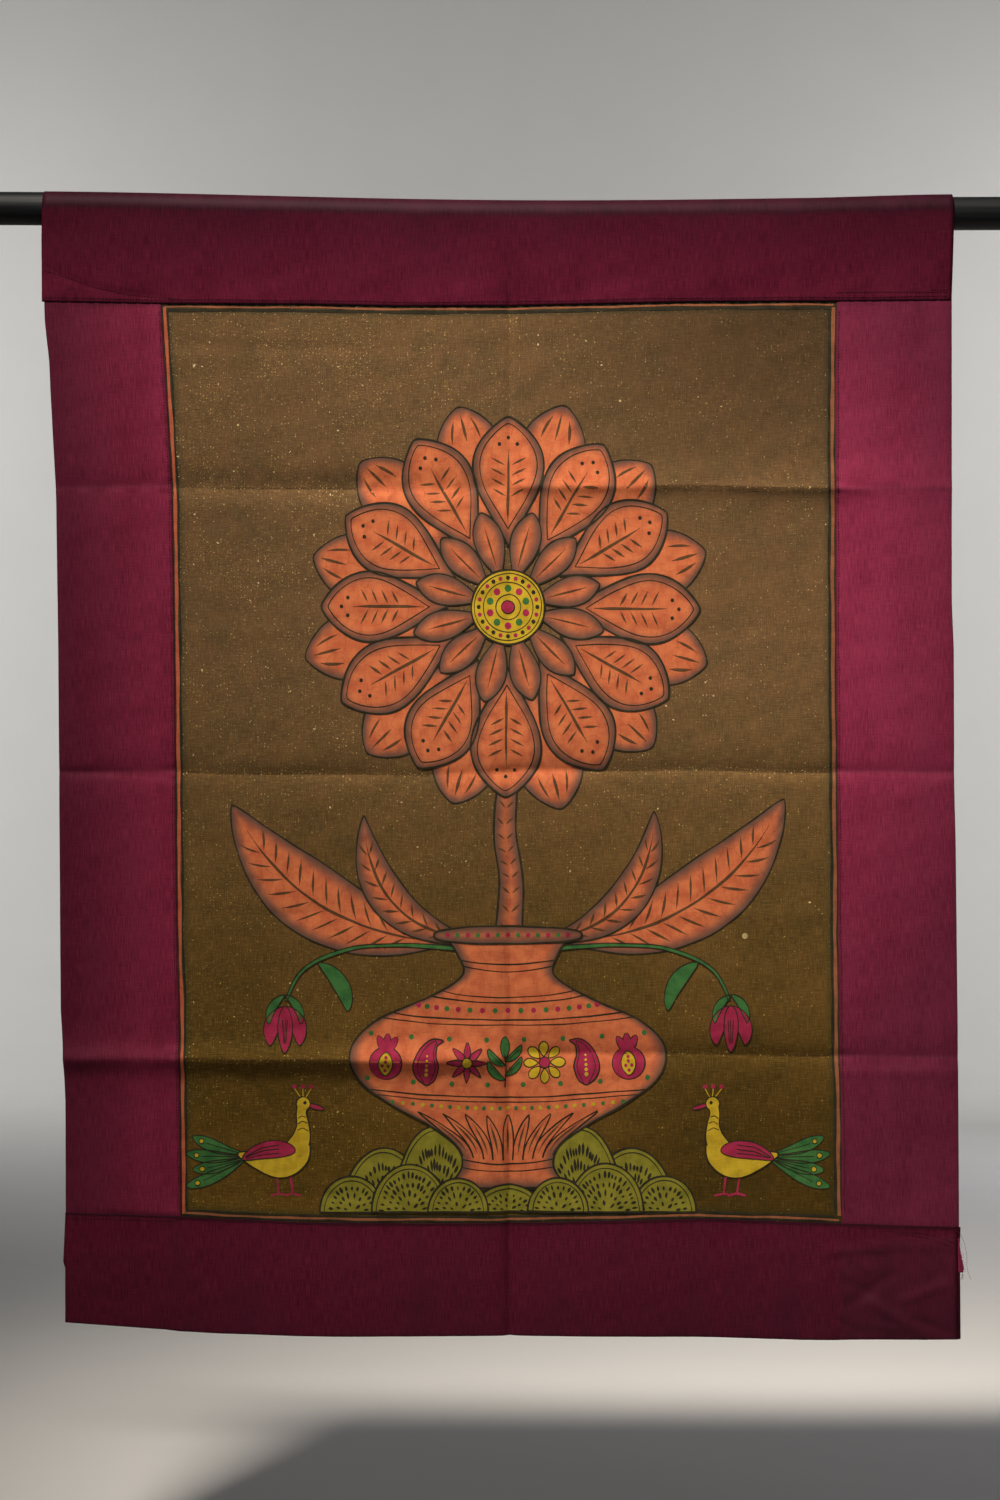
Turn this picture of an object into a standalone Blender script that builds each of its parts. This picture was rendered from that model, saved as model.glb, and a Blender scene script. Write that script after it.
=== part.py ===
# A painted cotton hanging with a doubled crimson border, carried by a round rod in its top sleeve.
# Metres, +Z up. The front faces -Y. The origin is midway between the centres of the rod's two ends.
# Tables are in millimetres: side is to the viewer's right of the origin, drop is below it.

import math

import bmesh
import bpy

MM = 0.001

# Driving sizes.
ROD_LENGTH = 1.160
ROD_RADIUS = 0.0165
ROD_SAG = 0.0065
ROD_TILT = 0.0025
ROD_BENT_HALF = 0.520
ROD_POINTS = 17
ROD_CHAMFER = 0.0015

PANEL_THICKNESS = 0.0010
LAYER_THICKNESS = 0.0010
LAYER_SPACING = 0.0016
SEAM_GAP = 0.0005
SLEEVE_SLACK = 0.0004
SLEEVE_LIFT_RIGHT = 0.0020
SLEEVE_LIFT_FROM = 0.300
SLEEVE_LIFT_OVER = 0.150
SLEEVE_TIGHT_DROP = 0.020
SLEEVE_FREE_DROP = 0.080
BACK_LAYER_SHOWS = 0.0035

# The centre fold, which runs down the whole cloth.
CENTRE_FOLD_SIDE = 0.010

# Outer edges and seams of the cloth as it hangs.
SIDE_STRIP_OUTER_LEFT = (
    # drop, side
    (91, -456.0), (110, -455.5), (150, -451.0), (175, -450.0), (240, -446.5), (290, -444.0),
    (440, -442.0), (740, -440.0), (800, -439.5), (840, -437.0), (890, -435.0), (1004, -434.8),
)
SIDE_STRIP_OUTER_RIGHT = (
    # drop, side
    (91, 452.0), (390, 452.0), (440, 454.0), (575, 454.5), (640, 456.0), (840, 458.0), (1016, 459.0),
)
PANEL_SEAM_LEFT = (
    # drop, side
    (91, -339.0), (130, -337.0), (175, -334.0), (240, -330.5), (290, -328.0), (440, -326.0),
    (740, -323.0), (790, -321.0), (940, -320.0), (1007, -319.5),
)
PANEL_SEAM_RIGHT = (
    # drop, side
    (89, 337.0), (180, 335.5), (440, 336.0), (640, 338.0), (790, 339.0), (890, 341.0), (1012, 342.0),
)
TOP_SEAM = (
    # side, drop
    (-458, 90.5), (-337, 92.5), (-200, 93.0), (-100, 95.0), (10, 94.5), (200, 90.5), (336, 90.0),
    (452, 89.0),
)
BOTTOM_SEAM = (
    # side, drop
    (-435, 1002.0), (-320, 1005.5), (-280, 1008.0), (-200, 1011.0), (10, 1012.5), (200, 1007.5),
    (342, 1012.0), (459, 1016.0),
)
BOTTOM_EDGE = (
    # side, drop
    (-435, 1112.0), (-335, 1119.0), (-320, 1121.0), (-280, 1123.0), (-200, 1125.0), (10, 1125.5),
    (200, 1126.0), (300, 1128.5), (460, 1128.0),
)
SLEEVE_END_LEFT = (
    # drop, side
    (-20, -455.0), (30, -457.0), (91, -458.0),
)
SLEEVE_END_RIGHT = (
    # drop, side
    (-20, 451.0), (0, 452.0), (89, 451.5),
)
BOTTOM_END_LEFT = (
    # drop, side
    (1002, -434.8), (1052, -437.0), (1056, -435.0), (1112, -435.0),
)
BOTTOM_END_RIGHT = (
    # drop, side
    (1016, 457.0), (1030, 456.5), (1128, 457.0),
)

# Folds left by storage. Each runs across the cloth, and the outer two turn over at the centre fold.
ACROSS_FOLDS = (
    # drop left and right of centre, push left and right (towards the viewer), reach above and below
    (276.5, 276.5, -2.5, 4.0, 14, 9),
    (562.0, 560.0, -4.5, -4.5, 10, 16),
    (848.0, 844.0, 5.0, -3.5, 16, 16),
)
CENTRE_FOLD_PUSH_ABOVE = -1.2
CENTRE_FOLD_PUSH_BELOW = -3.5
CENTRE_FOLD_REACH_LEFT = 10
CENTRE_FOLD_REACH_RIGHT = 18
FOLD_SWAP_WIDTH = 30

# Slow swells of the hanging cloth.
SWELLS = (
    # push, wavelength across, wavelength down, phase in turns
    (2.5, 520, 2400, 0.10),
    (1.6, 260, 900, 0.55),
    (2.0, 1400, 610, 0.30),
)
LOWEST_DROP = 1128
CURLED_CORNER_SIDE = 459
CORNER_CURL = 7.0
CORNER_CURL_REACH = 120

# Places across and down where the cloth has a line of points, in millimetres.
# The knots of the seams' tables are among them, so that two pieces share each seam's run.
COLUMNS = (-280, -200, -150, -100, -50, -20, -5, 3, 10, 18, 30, 60, 130, 200, 270)
TOP_COLUMNS = (-400, -337, *COLUMNS, 336, 395)
BOTTOM_COLUMNS = (-385, -335, -320, *COLUMNS, 300, 342, 400)
ROWS = (
    130, 180, 225, 250, 264, 271, 276.5, 281, 290, 310, 345, 400, 460, 510, 540, 552, 561, 570,
    585, 620, 680, 740, 790, 820, 836, 844, 848, 855, 868, 890, 925, 965,
)
STRIP_SHARES = (0.0, 0.30, 0.65, 0.95)
SLEEVE_SHARES = (0.0, 0.25, 0.5, 0.75, 1.0)
SLEEVE_ARC_STEPS = 10
HEM_TURN_STEPS = 4

# The torn corner of the inner layer, which sticks out at the lower right.
TAB_INNER_SIDE = 457.6
TAB_OUTER = (
    # drop, side
    (1027, 458.6), (1036, 459.6), (1047, 461.5), (1057, 463.6), (1061, 462.6),
)
TAB_THICKNESS = 0.0010
TAB_CLEARANCE = 0.0005

COLOURS = {
    "rod": (0.020, 0.021, 0.023),
    "painted_panel": (0.110, 0.070, 0.025),
    "border": (0.140, 0.010, 0.045),
}


def clear_scene():
    for item in list(bpy.data.objects):
        bpy.data.objects.remove(item)


def new_collection(name):
    made = bpy.data.collections.new(name)
    bpy.context.scene.collection.children.link(made)
    return made


def principled(name, colour, roughness, metallic=0.0):
    made = bpy.data.materials.new(name)
    made.use_nodes = True
    shader = made.node_tree.nodes["Principled BSDF"]
    shader.inputs["Base Color"].default_value = (*colour, 1.0)
    shader.inputs["Roughness"].default_value = roughness
    shader.inputs["Metallic"].default_value = metallic
    return made


def along(table, place):
    """The table's second column at place in its first, on straight runs. All in millimetres."""
    if place <= table[0][0]:
        return table[0][1]
    for (low, low_value), (high, high_value) in zip(table, table[1:]):
        if place <= high:
            return low_value + (high_value - low_value) * (place - low) / (high - low)
    return table[-1][1]


def eased(value):
    """0 below 0, 1 above 1, and a smooth step between."""
    held = min(1.0, max(0.0, value))
    return held * held * (3 - 2 * held)


def mixed(first, second, share):
    return first + (second - first) * share


def crease(distance, reach_before, reach_after):
    """1 on the fold's line, dying away on each side of it."""
    reach = reach_before if distance < 0 else reach_after
    return math.exp(-abs(distance) / reach)


def relief(side, drop):
    """How far the cloth stands towards the viewer there. Takes and gives metres."""
    side, drop = side / MM, drop / MM
    centre = CENTRE_FOLD_SIDE / MM
    right_of_centre = eased(0.5 + (side - centre) / FOLD_SWAP_WIDTH)
    push = 0.0
    for left_drop, right_drop, left_push, right_push, above, below in ACROSS_FOLDS:
        fold_drop = mixed(left_drop, right_drop, right_of_centre)
        push += mixed(left_push, right_push, right_of_centre) * crease(drop - fold_drop, above, below)
    middle_drop = ACROSS_FOLDS[1][0]
    below_middle = eased(0.5 + (drop - middle_drop) / FOLD_SWAP_WIDTH)
    centre_push = mixed(CENTRE_FOLD_PUSH_ABOVE, CENTRE_FOLD_PUSH_BELOW, below_middle)
    push += centre_push * crease(side - centre, CENTRE_FOLD_REACH_LEFT, CENTRE_FOLD_REACH_RIGHT)
    for swell, across, down, phase in SWELLS:
        turns = side / across + drop / down + phase
        push += swell * (drop / LOWEST_DROP) * math.sin(2 * math.pi * turns)
    from_corner = math.hypot(side - CURLED_CORNER_SIDE, drop - LOWEST_DROP)
    push += CORNER_CURL * eased(1 - from_corner / CORNER_CURL_REACH)
    return push * MM


def rod_axis(side):
    """Height of the rod's centre line: level at both ends, sagging between, the left end a little higher."""
    turn = math.pi / 2 * max(-1.0, min(1.0, side / ROD_BENT_HALF))
    return -ROD_SAG * math.cos(turn) ** 2 - ROD_TILT * math.sin(turn)


def sheet_from_grid(name, columns, rows, place, thickness, material, collection):
    """A grid whose line crossings are moved by place(column, row), thickened to both sides."""
    made = bmesh.new()
    bmesh.ops.create_grid(made, x_segments=len(columns) - 1, y_segments=len(rows) - 1, size=1.0)
    for corner in made.verts:
        column = columns[round((corner.co.x + 1) / 2 * (len(columns) - 1))]
        row = rows[round((corner.co.y + 1) / 2 * (len(rows) - 1))]
        corner.co = place(column, row)
    mesh = bpy.data.meshes.new(name)
    made.to_mesh(mesh)
    made.free()
    mesh.shade_smooth()
    sheet = bpy.data.objects.new(name, mesh)
    collection.objects.link(sheet)
    mesh.materials.append(material)
    wall = sheet.modifiers.new("cloth thickness", "SOLIDIFY")
    wall.thickness = thickness
    wall.offset = 0.0
    wall.use_even_offset = True
    return sheet


def meeting(side_of, drop_of, side_guess):
    """The point where a line down (side_of a drop) crosses a line across (drop_of a side), in metres."""
    side = side_guess
    for _ in range(4):
        drop = drop_of(side / MM) * MM
        side = side_of(drop / MM) * MM
    return side, drop


def fixed(value):
    return lambda _: value


def make_rod(collection):
    path = bpy.data.curves.new("rod", "CURVE")
    path.dimensions = "3D"
    path.bevel_depth = ROD_RADIUS
    path.bevel_resolution = 10
    path.use_fill_caps = True
    line = path.splines.new("POLY")
    half = ROD_LENGTH / 2
    inner = [ROD_BENT_HALF * (2 * step / (ROD_POINTS - 3) - 1) for step in range(ROD_POINTS - 2)]
    sides = [-half, *inner, half]
    line.points.add(len(sides) - 1)
    for point, side in zip(line.points, sides):
        point.co = (side, 0.0, rod_axis(side), 1.0)
    guide = bpy.data.objects.new("rod curve", path)
    collection.objects.link(guide)
    bpy.context.view_layer.update()
    mesh = bpy.data.meshes.new_from_object(guide.evaluated_get(bpy.context.evaluated_depsgraph_get()))
    bpy.data.objects.remove(guide)
    shell = bmesh.new()
    shell.from_mesh(mesh)
    bmesh.ops.remove_doubles(shell, verts=shell.verts, dist=0.00001)
    shell.to_mesh(mesh)
    shell.free()
    mesh.shade_smooth()
    mesh.set_sharp_from_angle(angle=math.radians(40))
    mesh.materials.clear()
    mesh.materials.append(principled("black rod", COLOURS["rod"], 0.45))
    rod = bpy.data.objects.new("rod", mesh)
    collection.objects.link(rod)
    edge = rod.modifiers.new("end chamfer", "BEVEL")
    edge.width = ROD_CHAMFER
    edge.segments = 1
    edge.limit_method = "ANGLE"
    edge.angle_limit = math.radians(60)
    return rod


def make_panel(collection, material):
    """The painted cloth, one layer, between its four seams."""
    inset = SEAM_GAP / 2 / MM
    columns = [
        lambda drop: along(PANEL_SEAM_LEFT, drop) + inset,
        *(fixed(side) for side in COLUMNS),
        lambda drop: along(PANEL_SEAM_RIGHT, drop) - inset,
    ]
    rows = [
        lambda side: along(TOP_SEAM, side) + inset,
        *(fixed(drop) for drop in ROWS),
        lambda side: along(BOTTOM_SEAM, side) - inset,
    ]

    def place(column, row):
        side, drop = meeting(column, row, 0.0)
        return side, -relief(side, drop), -drop

    return sheet_from_grid("painted_panel", columns, rows, place, PANEL_THICKNESS, material, collection)


def doubled_stations(shares):
    """Stations round a doubled strip: front layer from seam to fold, the fold, and the back layer again."""
    front = [(share, -1.0, 0.0) for share in shares]
    turns = [math.pi * step / HEM_TURN_STEPS for step in range(HEM_TURN_STEPS + 1)]
    fold = [(1.0, -math.cos(turn), math.sin(turn)) for turn in turns]
    back = [(share, 1.0, 0.0) for share in reversed(shares)]
    return front + fold + back


def make_side_strip(name, seam, outer, outward, collection, material):
    """A strip doubled on its outer edge, with both layers reaching the panel's seam."""
    half = LAYER_SPACING / 2
    inset = SEAM_GAP / 2
    rows = [
        lambda side: along(TOP_SEAM, side) + inset / MM,
        *(fixed(drop) for drop in ROWS),
        lambda side: along(BOTTOM_SEAM, side) - inset / MM,
    ]
    turn = half + LAYER_THICKNESS / 2

    def place(station, row):
        share, layer, bulge = station

        def side_of(drop):
            inner = along(seam, drop) * MM + outward * inset
            fold = along(outer, drop) * MM - outward * turn
            return (mixed(inner, fold, share) + outward * half * bulge) / MM

        side, drop = meeting(side_of, row, outer[0][1] * MM)
        return side, half * layer - relief(side, drop), -drop

    return sheet_from_grid(
        name, doubled_stations(STRIP_SHARES), rows, place, LAYER_THICKNESS, material, collection
    )


def make_bottom_strip(collection, material):
    """The lower strip, doubled on its bottom edge. Its back layer shows beyond the front one at the right."""
    half = LAYER_SPACING / 2
    inset = SEAM_GAP / 2
    turn = half + LAYER_THICKNESS / 2
    columns = [
        lambda drop: along(BOTTOM_END_LEFT, drop),
        *(fixed(side) for side in BOTTOM_COLUMNS),
        lambda drop: along(BOTTOM_END_RIGHT, drop),
    ]
    last = columns[-1]

    def place(column, station):
        share, layer, bulge = station

        def drop_of(side):
            seam = along(BOTTOM_SEAM, side) * MM + inset
            fold = along(BOTTOM_EDGE, side) * MM - turn
            return (mixed(seam, fold, share) + half * bulge) / MM

        side, drop = meeting(column, drop_of, 0.0)
        if column is last:
            side += BACK_LAYER_SHOWS * eased((layer + 1) / 2)
        return side, half * layer - relief(side, drop), -drop

    return sheet_from_grid(
        "border_bottom", columns, doubled_stations(STRIP_SHARES), place, LAYER_THICKNESS, material, collection
    )


def sleeve_section(side):
    """Points round the sleeve there, from the seam in front, over the rod, to the seam behind, as (back, up)."""
    seam_up = -along(TOP_SEAM, side / MM) * MM + SEAM_GAP / 2
    lift = SLEEVE_LIFT_RIGHT * eased((side - SLEEVE_LIFT_FROM) / SLEEVE_LIFT_OVER)
    radius = ROD_RADIUS + SLEEVE_SLACK + LAYER_THICKNESS / 2
    centre_up = rod_axis(side) + lift
    half = LAYER_SPACING / 2
    reach = math.hypot(centre_up - seam_up, half)
    leaves = math.acos(radius / reach)
    touch_back, touch_up = -radius * math.sin(leaves), centre_up - radius * math.cos(leaves)
    straight = [(mixed(-half, touch_back, share), mixed(seam_up, touch_up, share)) for share in SLEEVE_SHARES]
    points = straight[:-1]
    for step in range(SLEEVE_ARC_STEPS + 1):
        angle = leaves + (2 * math.pi - 2 * leaves) * step / SLEEVE_ARC_STEPS
        points.append((-radius * math.sin(angle), centre_up - radius * math.cos(angle)))
    return points + [(-back, up) for back, up in reversed(straight[:-1])]


def make_sleeve(collection, material):
    """The upper strip, doubled over the rod. Its two layers meet at the panel's top seam."""
    around = list(range(2 * (len(SLEEVE_SHARES) - 1) + SLEEVE_ARC_STEPS + 1))
    columns = [
        lambda drop: along(SLEEVE_END_LEFT, drop),
        *(fixed(side) for side in TOP_COLUMNS),
        lambda drop: along(SLEEVE_END_RIGHT, drop),
    ]

    def place(column, number):
        side = column(0.0) * MM
        for _ in range(3):
            back, up = sleeve_section(side)[number]
            side = column(-up / MM) * MM
        free = eased((-up - SLEEVE_TIGHT_DROP) / (SLEEVE_FREE_DROP - SLEEVE_TIGHT_DROP))
        return side, back - relief(side, -up) * free, up

    return sheet_from_grid("border_top", columns, around, place, LAYER_THICKNESS, material, collection)


def make_tab(collection, material):
    """A torn corner lying in front of the back layer, past the front layer's end."""
    behind = (LAYER_SPACING - LAYER_THICKNESS - TAB_THICKNESS) / 2 - TAB_CLEARANCE

    def place(share, row):
        drop, outer = row
        side = mixed(TAB_INNER_SIDE, outer, share) * MM
        return side, behind - relief(side, drop * MM), -drop * MM

    return sheet_from_grid(
        "inner_layer_tab", (0.0, 0.5, 1.0), TAB_OUTER, place, TAB_THICKNESS, material, collection
    )


def main():
    clear_scene()
    hanging = new_collection("cloth painting on a rod")
    cloth = principled("painted cotton", COLOURS["painted_panel"], 0.9)
    border = principled("crimson sateen", COLOURS["border"], 0.7)
    make_rod(hanging)
    make_panel(hanging, cloth)
    make_sleeve(hanging, border)
    make_side_strip("border_left", PANEL_SEAM_LEFT, SIDE_STRIP_OUTER_LEFT, -1, hanging, border)
    make_side_strip("border_right", PANEL_SEAM_RIGHT, SIDE_STRIP_OUTER_RIGHT, 1, hanging, border)
    make_bottom_strip(hanging, border)
    make_tab(hanging, border)


main()
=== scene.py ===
# %% [markdown]
# A cloth painting is one layer of painted cotton, framed by four wide crimson strips and hung on a
# black bar that runs through the top strip. The measured model already has every piece at its real
# size. This notebook gives each of them a finer surface, a painted design and a finish.
# The measured model is loaded first, so that everything after it can be placed by the same sizes.

# %% Load the measured model
import math

import bmesh
import bpy
import numpy as np
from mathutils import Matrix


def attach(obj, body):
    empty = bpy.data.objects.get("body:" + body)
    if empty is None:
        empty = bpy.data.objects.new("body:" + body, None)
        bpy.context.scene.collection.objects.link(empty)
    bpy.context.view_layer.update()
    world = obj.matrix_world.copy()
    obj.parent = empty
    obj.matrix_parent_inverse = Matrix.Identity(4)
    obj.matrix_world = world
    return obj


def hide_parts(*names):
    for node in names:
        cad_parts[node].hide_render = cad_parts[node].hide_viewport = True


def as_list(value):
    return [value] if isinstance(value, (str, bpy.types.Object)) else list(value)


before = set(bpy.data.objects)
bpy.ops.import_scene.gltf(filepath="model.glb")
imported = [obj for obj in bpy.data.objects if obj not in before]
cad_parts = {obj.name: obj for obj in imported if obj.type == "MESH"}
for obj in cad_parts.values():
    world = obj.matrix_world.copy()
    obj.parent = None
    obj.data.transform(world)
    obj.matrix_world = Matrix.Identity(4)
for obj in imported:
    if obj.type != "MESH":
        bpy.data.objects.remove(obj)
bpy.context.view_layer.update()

# %% [markdown]
# Cloth that has been folded away for years is described well by its outline and its folds.
# The outline is a few short tables, read across (side, to the viewer's right) and down (drop, below
# the bar), in millimetres. They are the sizes of the measured model, so the fine cloth lies on it.

# %% Outline of the hanging cloth
MM = 0.001
CENTRE = 10.0
LEFT_EDGE = (
    # drop, side
    (91, -456.0), (110, -455.5), (150, -451.0), (175, -450.0), (240, -446.5), (290, -444.0),
    (440, -442.0), (740, -440.0), (800, -439.5), (840, -437.0), (890, -435.0), (1004, -434.8),
)
RIGHT_EDGE = (
    # drop, side
    (91, 452.0), (390, 452.0), (440, 454.0), (575, 454.5), (640, 456.0), (840, 458.0), (1016, 459.0),
)
LEFT_SEAM = (
    # drop, side
    (91, -339.0), (130, -337.0), (175, -334.0), (240, -330.5), (290, -328.0), (440, -326.0),
    (740, -323.0), (790, -321.0), (940, -320.0), (1007, -319.5),
)
RIGHT_SEAM = (
    # drop, side
    (89, 337.0), (180, 335.5), (440, 336.0), (640, 338.0), (790, 339.0), (890, 341.0), (1012, 342.0),
)
TOP_SEAM = (
    # side, drop
    (-458, 90.5), (-337, 92.5), (-200, 93.0), (-100, 95.0), (10, 94.5), (200, 90.5), (336, 90.0),
    (452, 89.0),
)
BOTTOM_SEAM = (
    # side, drop
    (-435, 1002.0), (-320, 1005.5), (-280, 1008.0), (-200, 1011.0), (10, 1012.5), (200, 1007.5),
    (342, 1012.0), (459, 1016.0),
)
BOTTOM_EDGE = (
    # side, drop
    (-435, 1112.0), (-335, 1119.0), (-320, 1121.0), (-280, 1123.0), (-200, 1125.0), (10, 1125.5),
    (200, 1126.0), (300, 1128.5), (460, 1128.0),
)
SLEEVE_LEFT = (
    # drop, side
    (-20, -455.0), (30, -457.0), (91, -458.0),
)
SLEEVE_RIGHT = (
    # drop, side
    (-20, 451.0), (0, 452.0), (89, 451.5),
)
BOTTOM_LEFT = (
    # drop, side
    (1002, -434.8), (1052, -437.0), (1056, -435.0), (1112, -435.0),
)
BOTTOM_RIGHT = (
    # drop, side
    (1016, 457.0), (1030, 456.5), (1128, 457.0),
)
SEAM_TOP, SEAM_BOTTOM, LOWEST = 92.0, 1010.0, 1128.0


def along(table, place):
    """The table's second column at place in its first, on straight runs, for a whole array."""
    places, values = np.array(table, float).T
    return np.interp(place, places, values)


def eased(value):
    """0 below 0, 1 above 1, and a smooth step between: 3v squared less 2v cubed."""
    held = np.clip(value, 0, 1)
    return held * held * (3 - 2 * held)


def mixed(first, second, share):
    return first + (second - first) * share


# %% [markdown]
# The sheet was stored folded in half downwards, then across, then downwards again. That is why the
# outer folds turn from a trough to a ridge where they cross the centre fold. Each fold is a peak that
# dies away on both sides. The same formula shaped the measured model. Here its tip is rounded by a
# millimetre or two, as in real cotton, and the pushes and reaches are finer ones, tuned so that the
# folds shade as they do in the photograph. A simulation would soften these old folds, so they are
# listed, and slow swells on top of them keep the sheet from looking ruled.

# %% Main folds and swells
ACROSS_FOLDS = (
    # left of the centre fold, then right of it: drop, push towards the viewer, reach above and below
    ((276.5, -2.5, 14, 10), (276.5, 4.0, 12, 8)),
    ((562.0, -3.6, 12, 8), (560.0, -3.8, 12, 7)),
    ((848.0, 5.6, 16, 14), (844.0, -3.6, 11, 8)),
)
CENTRE_PUSH_ABOVE, CENTRE_PUSH_BELOW = -1.2, -3.5
CENTRE_REACH_LEFT, CENTRE_REACH_RIGHT = 10, 18
SWAP_WIDTH = 30
FOLD_ROUNDING = 1.6
SWELLS = (
    # push, wavelength across, wavelength down, phase in turns
    (2.5, 520, 2400, 0.10),
    (1.6, 260, 900, 0.55),
    (2.0, 1400, 610, 0.30),
)
CURLED_SIDE, CORNER_CURL, CURL_REACH = 459, 7.0, 120


def crease(distance, before, after):
    """e to the minus distance over reach, with its tip rounded."""
    reach = np.where(distance < 0, before, after)
    return np.exp((FOLD_ROUNDING - np.hypot(distance, FOLD_ROUNDING)) / reach)


def right_share(side):
    """0 left of the centre fold and 1 right of it, with a soft change between."""
    return eased(0.5 + (side - CENTRE) / SWAP_WIDTH)


def main_relief(side, drop):
    """How far the cloth stands towards the viewer, in mm: three folds across, one down, and swells."""
    right = right_share(side)
    push = np.zeros(np.broadcast(side, drop).shape)
    for on_left, on_right in ACROSS_FOLDS:
        fold_drop, fold_push, above, below = [mixed(a, b, right) for a, b in zip(on_left, on_right)]
        push = push + fold_push * crease(drop - fold_drop, above, below)
    lower = eased(0.5 + (drop - ACROSS_FOLDS[1][0][0]) / SWAP_WIDTH)
    centre_push = mixed(CENTRE_PUSH_ABOVE, CENTRE_PUSH_BELOW, lower)
    push = push + centre_push * crease(side - CENTRE, CENTRE_REACH_LEFT, CENTRE_REACH_RIGHT)
    for swell, across, down, phase in SWELLS:
        push = push + swell * drop / LOWEST * np.sin(2 * math.pi * (side / across + drop / down + phase))
    corner = np.hypot(side - CURLED_SIDE, drop - LOWEST)
    return push + CORNER_CURL * eased(1 - corner / CURL_REACH)


print("deepest trough", round(float(main_relief(np.array(-100.0), np.array(562.0))), 2), "mm")

# %% [markdown]
# Between the main folds a real sheet has fainter ones: the eighth folds, short slanting creases from
# handling, and small waves where the cloth is a little too long for its fold. Each is one row of a
# table: a line, a push and a reach. The push is a bell across the line and eases off at its ends.

# %% Small creases
CREASES = (
    # side and drop where it starts, where it ends, push towards the viewer, reach
    (-450, 848, -15, 848, 3.4, 12.0), (-320, 272, -20, 272, -1.5, 13.0), (-320, 296, -40, 294, 0.7, 11.0),
    (10, 85, 10, 420, -0.9, 3.6), (10, 860, 10, 1130, -2.2, 4.5), (60, 263, 450, 262, 0.4, 9.0),
    (-325, 134, -150, 138, -0.9, 5.0), (-150, 138, 60, 136, -0.35, 6.0),
    (-320, 420, -60, 421, 0.45, 6.0), (60, 418, 335, 420, -0.5, 6.0),
    (-318, 704, -40, 702, -0.5, 6.0), (60, 705, 338, 703, 0.5, 6.0),
    (-300, 986, -150, 984, -0.9, 5.0), (-150, 984, 200, 986, -0.3, 6.0),
    (-231, 100, -231, 270, -0.5, 4.0), (-203, 100, -205, 560, 0.35, 4.0), (-231, 570, -230, 990, 0.4, 4.0),
    (-71, 164, -89, 214, -0.7, 2.4), (-4, 166, -28, 198, -0.8, 2.4), (-209, 204, -229, 249, -0.7, 2.4),
    (40, 172, 25, 196, -0.7, 2.4), (-45, 119, -70, 161, 0.5, 2.8), (-30, 139, -52, 181, -0.5, 2.6),
    (-20, 184, -45, 229, 0.5, 2.8), (-85, 109, -102, 141, -0.5, 2.6), (120, 196, 96, 246, -0.4, 3.0),
    (225, 305, 205, 352, 0.4, 3.0), (-260, 316, -238, 372, -0.4, 3.0), (290, 600, 262, 640, -0.4, 3.0),
    (-180, 590, -150, 616, 0.6, 4.0), (95, 566, 150, 588, -0.9, 6.0), (250, 566, 276, 592, -0.8, 6.0),
    (-255, 866, -220, 905, -0.9, 6.0), (180, 862, 216, 884, 0.6, 5.0),
    (334, 1039, 334, 1109, -1.2, 4.0), (325, 1041, 380, 1036, 1.5, 4.0), (372, 1037, 452, 1031, 1.5, 4.0),
    (342, 1068, 370, 1082, -1.4, 4.0), (368, 1089, 425, 1124, 2.2, 5.0), (338, 1107, 362, 1124, -1.6, 4.0),
    (415, 1107, 455, 1124, -1.6, 4.0), (352, 1046, 372, 1062, 1.4, 4.0), (400, 1090, 446, 1072, 1.6, 4.5),
    (345, 1096, 392, 1062, -1.6, 5.0), (360, 1112, 400, 1118, 1.0, 3.5), (430, 1040, 444, 1068, -1.2, 4.0),
    (435, 970, 457, 973, -0.8, 2.6), (403, 996, 412, 996, -0.6, 2.4), (342, 861, 458, 861, 0.9, 5.0),
    (-458, 51, -430, 69, -0.7, 2.6), (-430, 69, -392, 81, -0.7, 2.6), (-392, 81, -330, 88, -0.5, 2.6),
    (338, -12, 338, 42, -1.0, 5.0), (420, 29, 440, -4, -1.2, 7.0), (-395, 20, -330, 36, 0.5, 9.0),
    (-434, 1046, -338, 1040, 0.6, 6.0), (-420, 1085, -350, 1092, -0.5, 8.0), (-90, 1040, -60, 1100, 0.4, 9.0),
    (-400, 300, -396, 460, 0.5, 9.0), (390, 310, 396, 540, 0.6, 10.0), (-380, 880, -384, 990, -0.5, 9.0),
    (400, 600, 394, 800, -0.5, 10.0), (-440, 560, -330, 566, -0.5, 4.0), (345, 275, 452, 280, -0.6, 4.0),
)
CREASE_END = 14.0
RIPPLES = (
    # push, wavelength across, wavelength down, phase in turns
    (0.12, 61, 240, 0.2), (0.14, 190, 47, 0.7), (0.08, 33, 88, 0.4), (0.06, 71, 23, 0.1),
)
WAVE_PUSH, WAVE_LENGTH, WAVE_FADE = 0.9, 27.0, 12.0
CALMER, CALMER_FROM, CALMER_OVER = 0.62, 315.0, 40.0


def crease_push(side, drop, row):
    """push times a bell of the distance across the line, times an easing at both of its ends."""
    side_from, drop_from, side_to, drop_to, push, reach = row
    run, fall = side_to - side_from, drop_to - drop_from
    length = math.hypot(run, fall)
    place = ((side - side_from) * run + (drop - drop_from) * fall) / length
    off = ((side - side_from) * fall - (drop - drop_from) * run) / length
    ends = eased(place / CREASE_END + 0.5) * eased((length - place) / CREASE_END + 0.5)
    return push * ends * np.exp(-((off / reach) ** 2))


def fold_wander(side):
    """How far a fold across strays from its straight line, in mm: two slow sines."""
    return 1.3 * np.sin(side / 83) + 0.6 * np.sin(side / 29 + 1)


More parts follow.
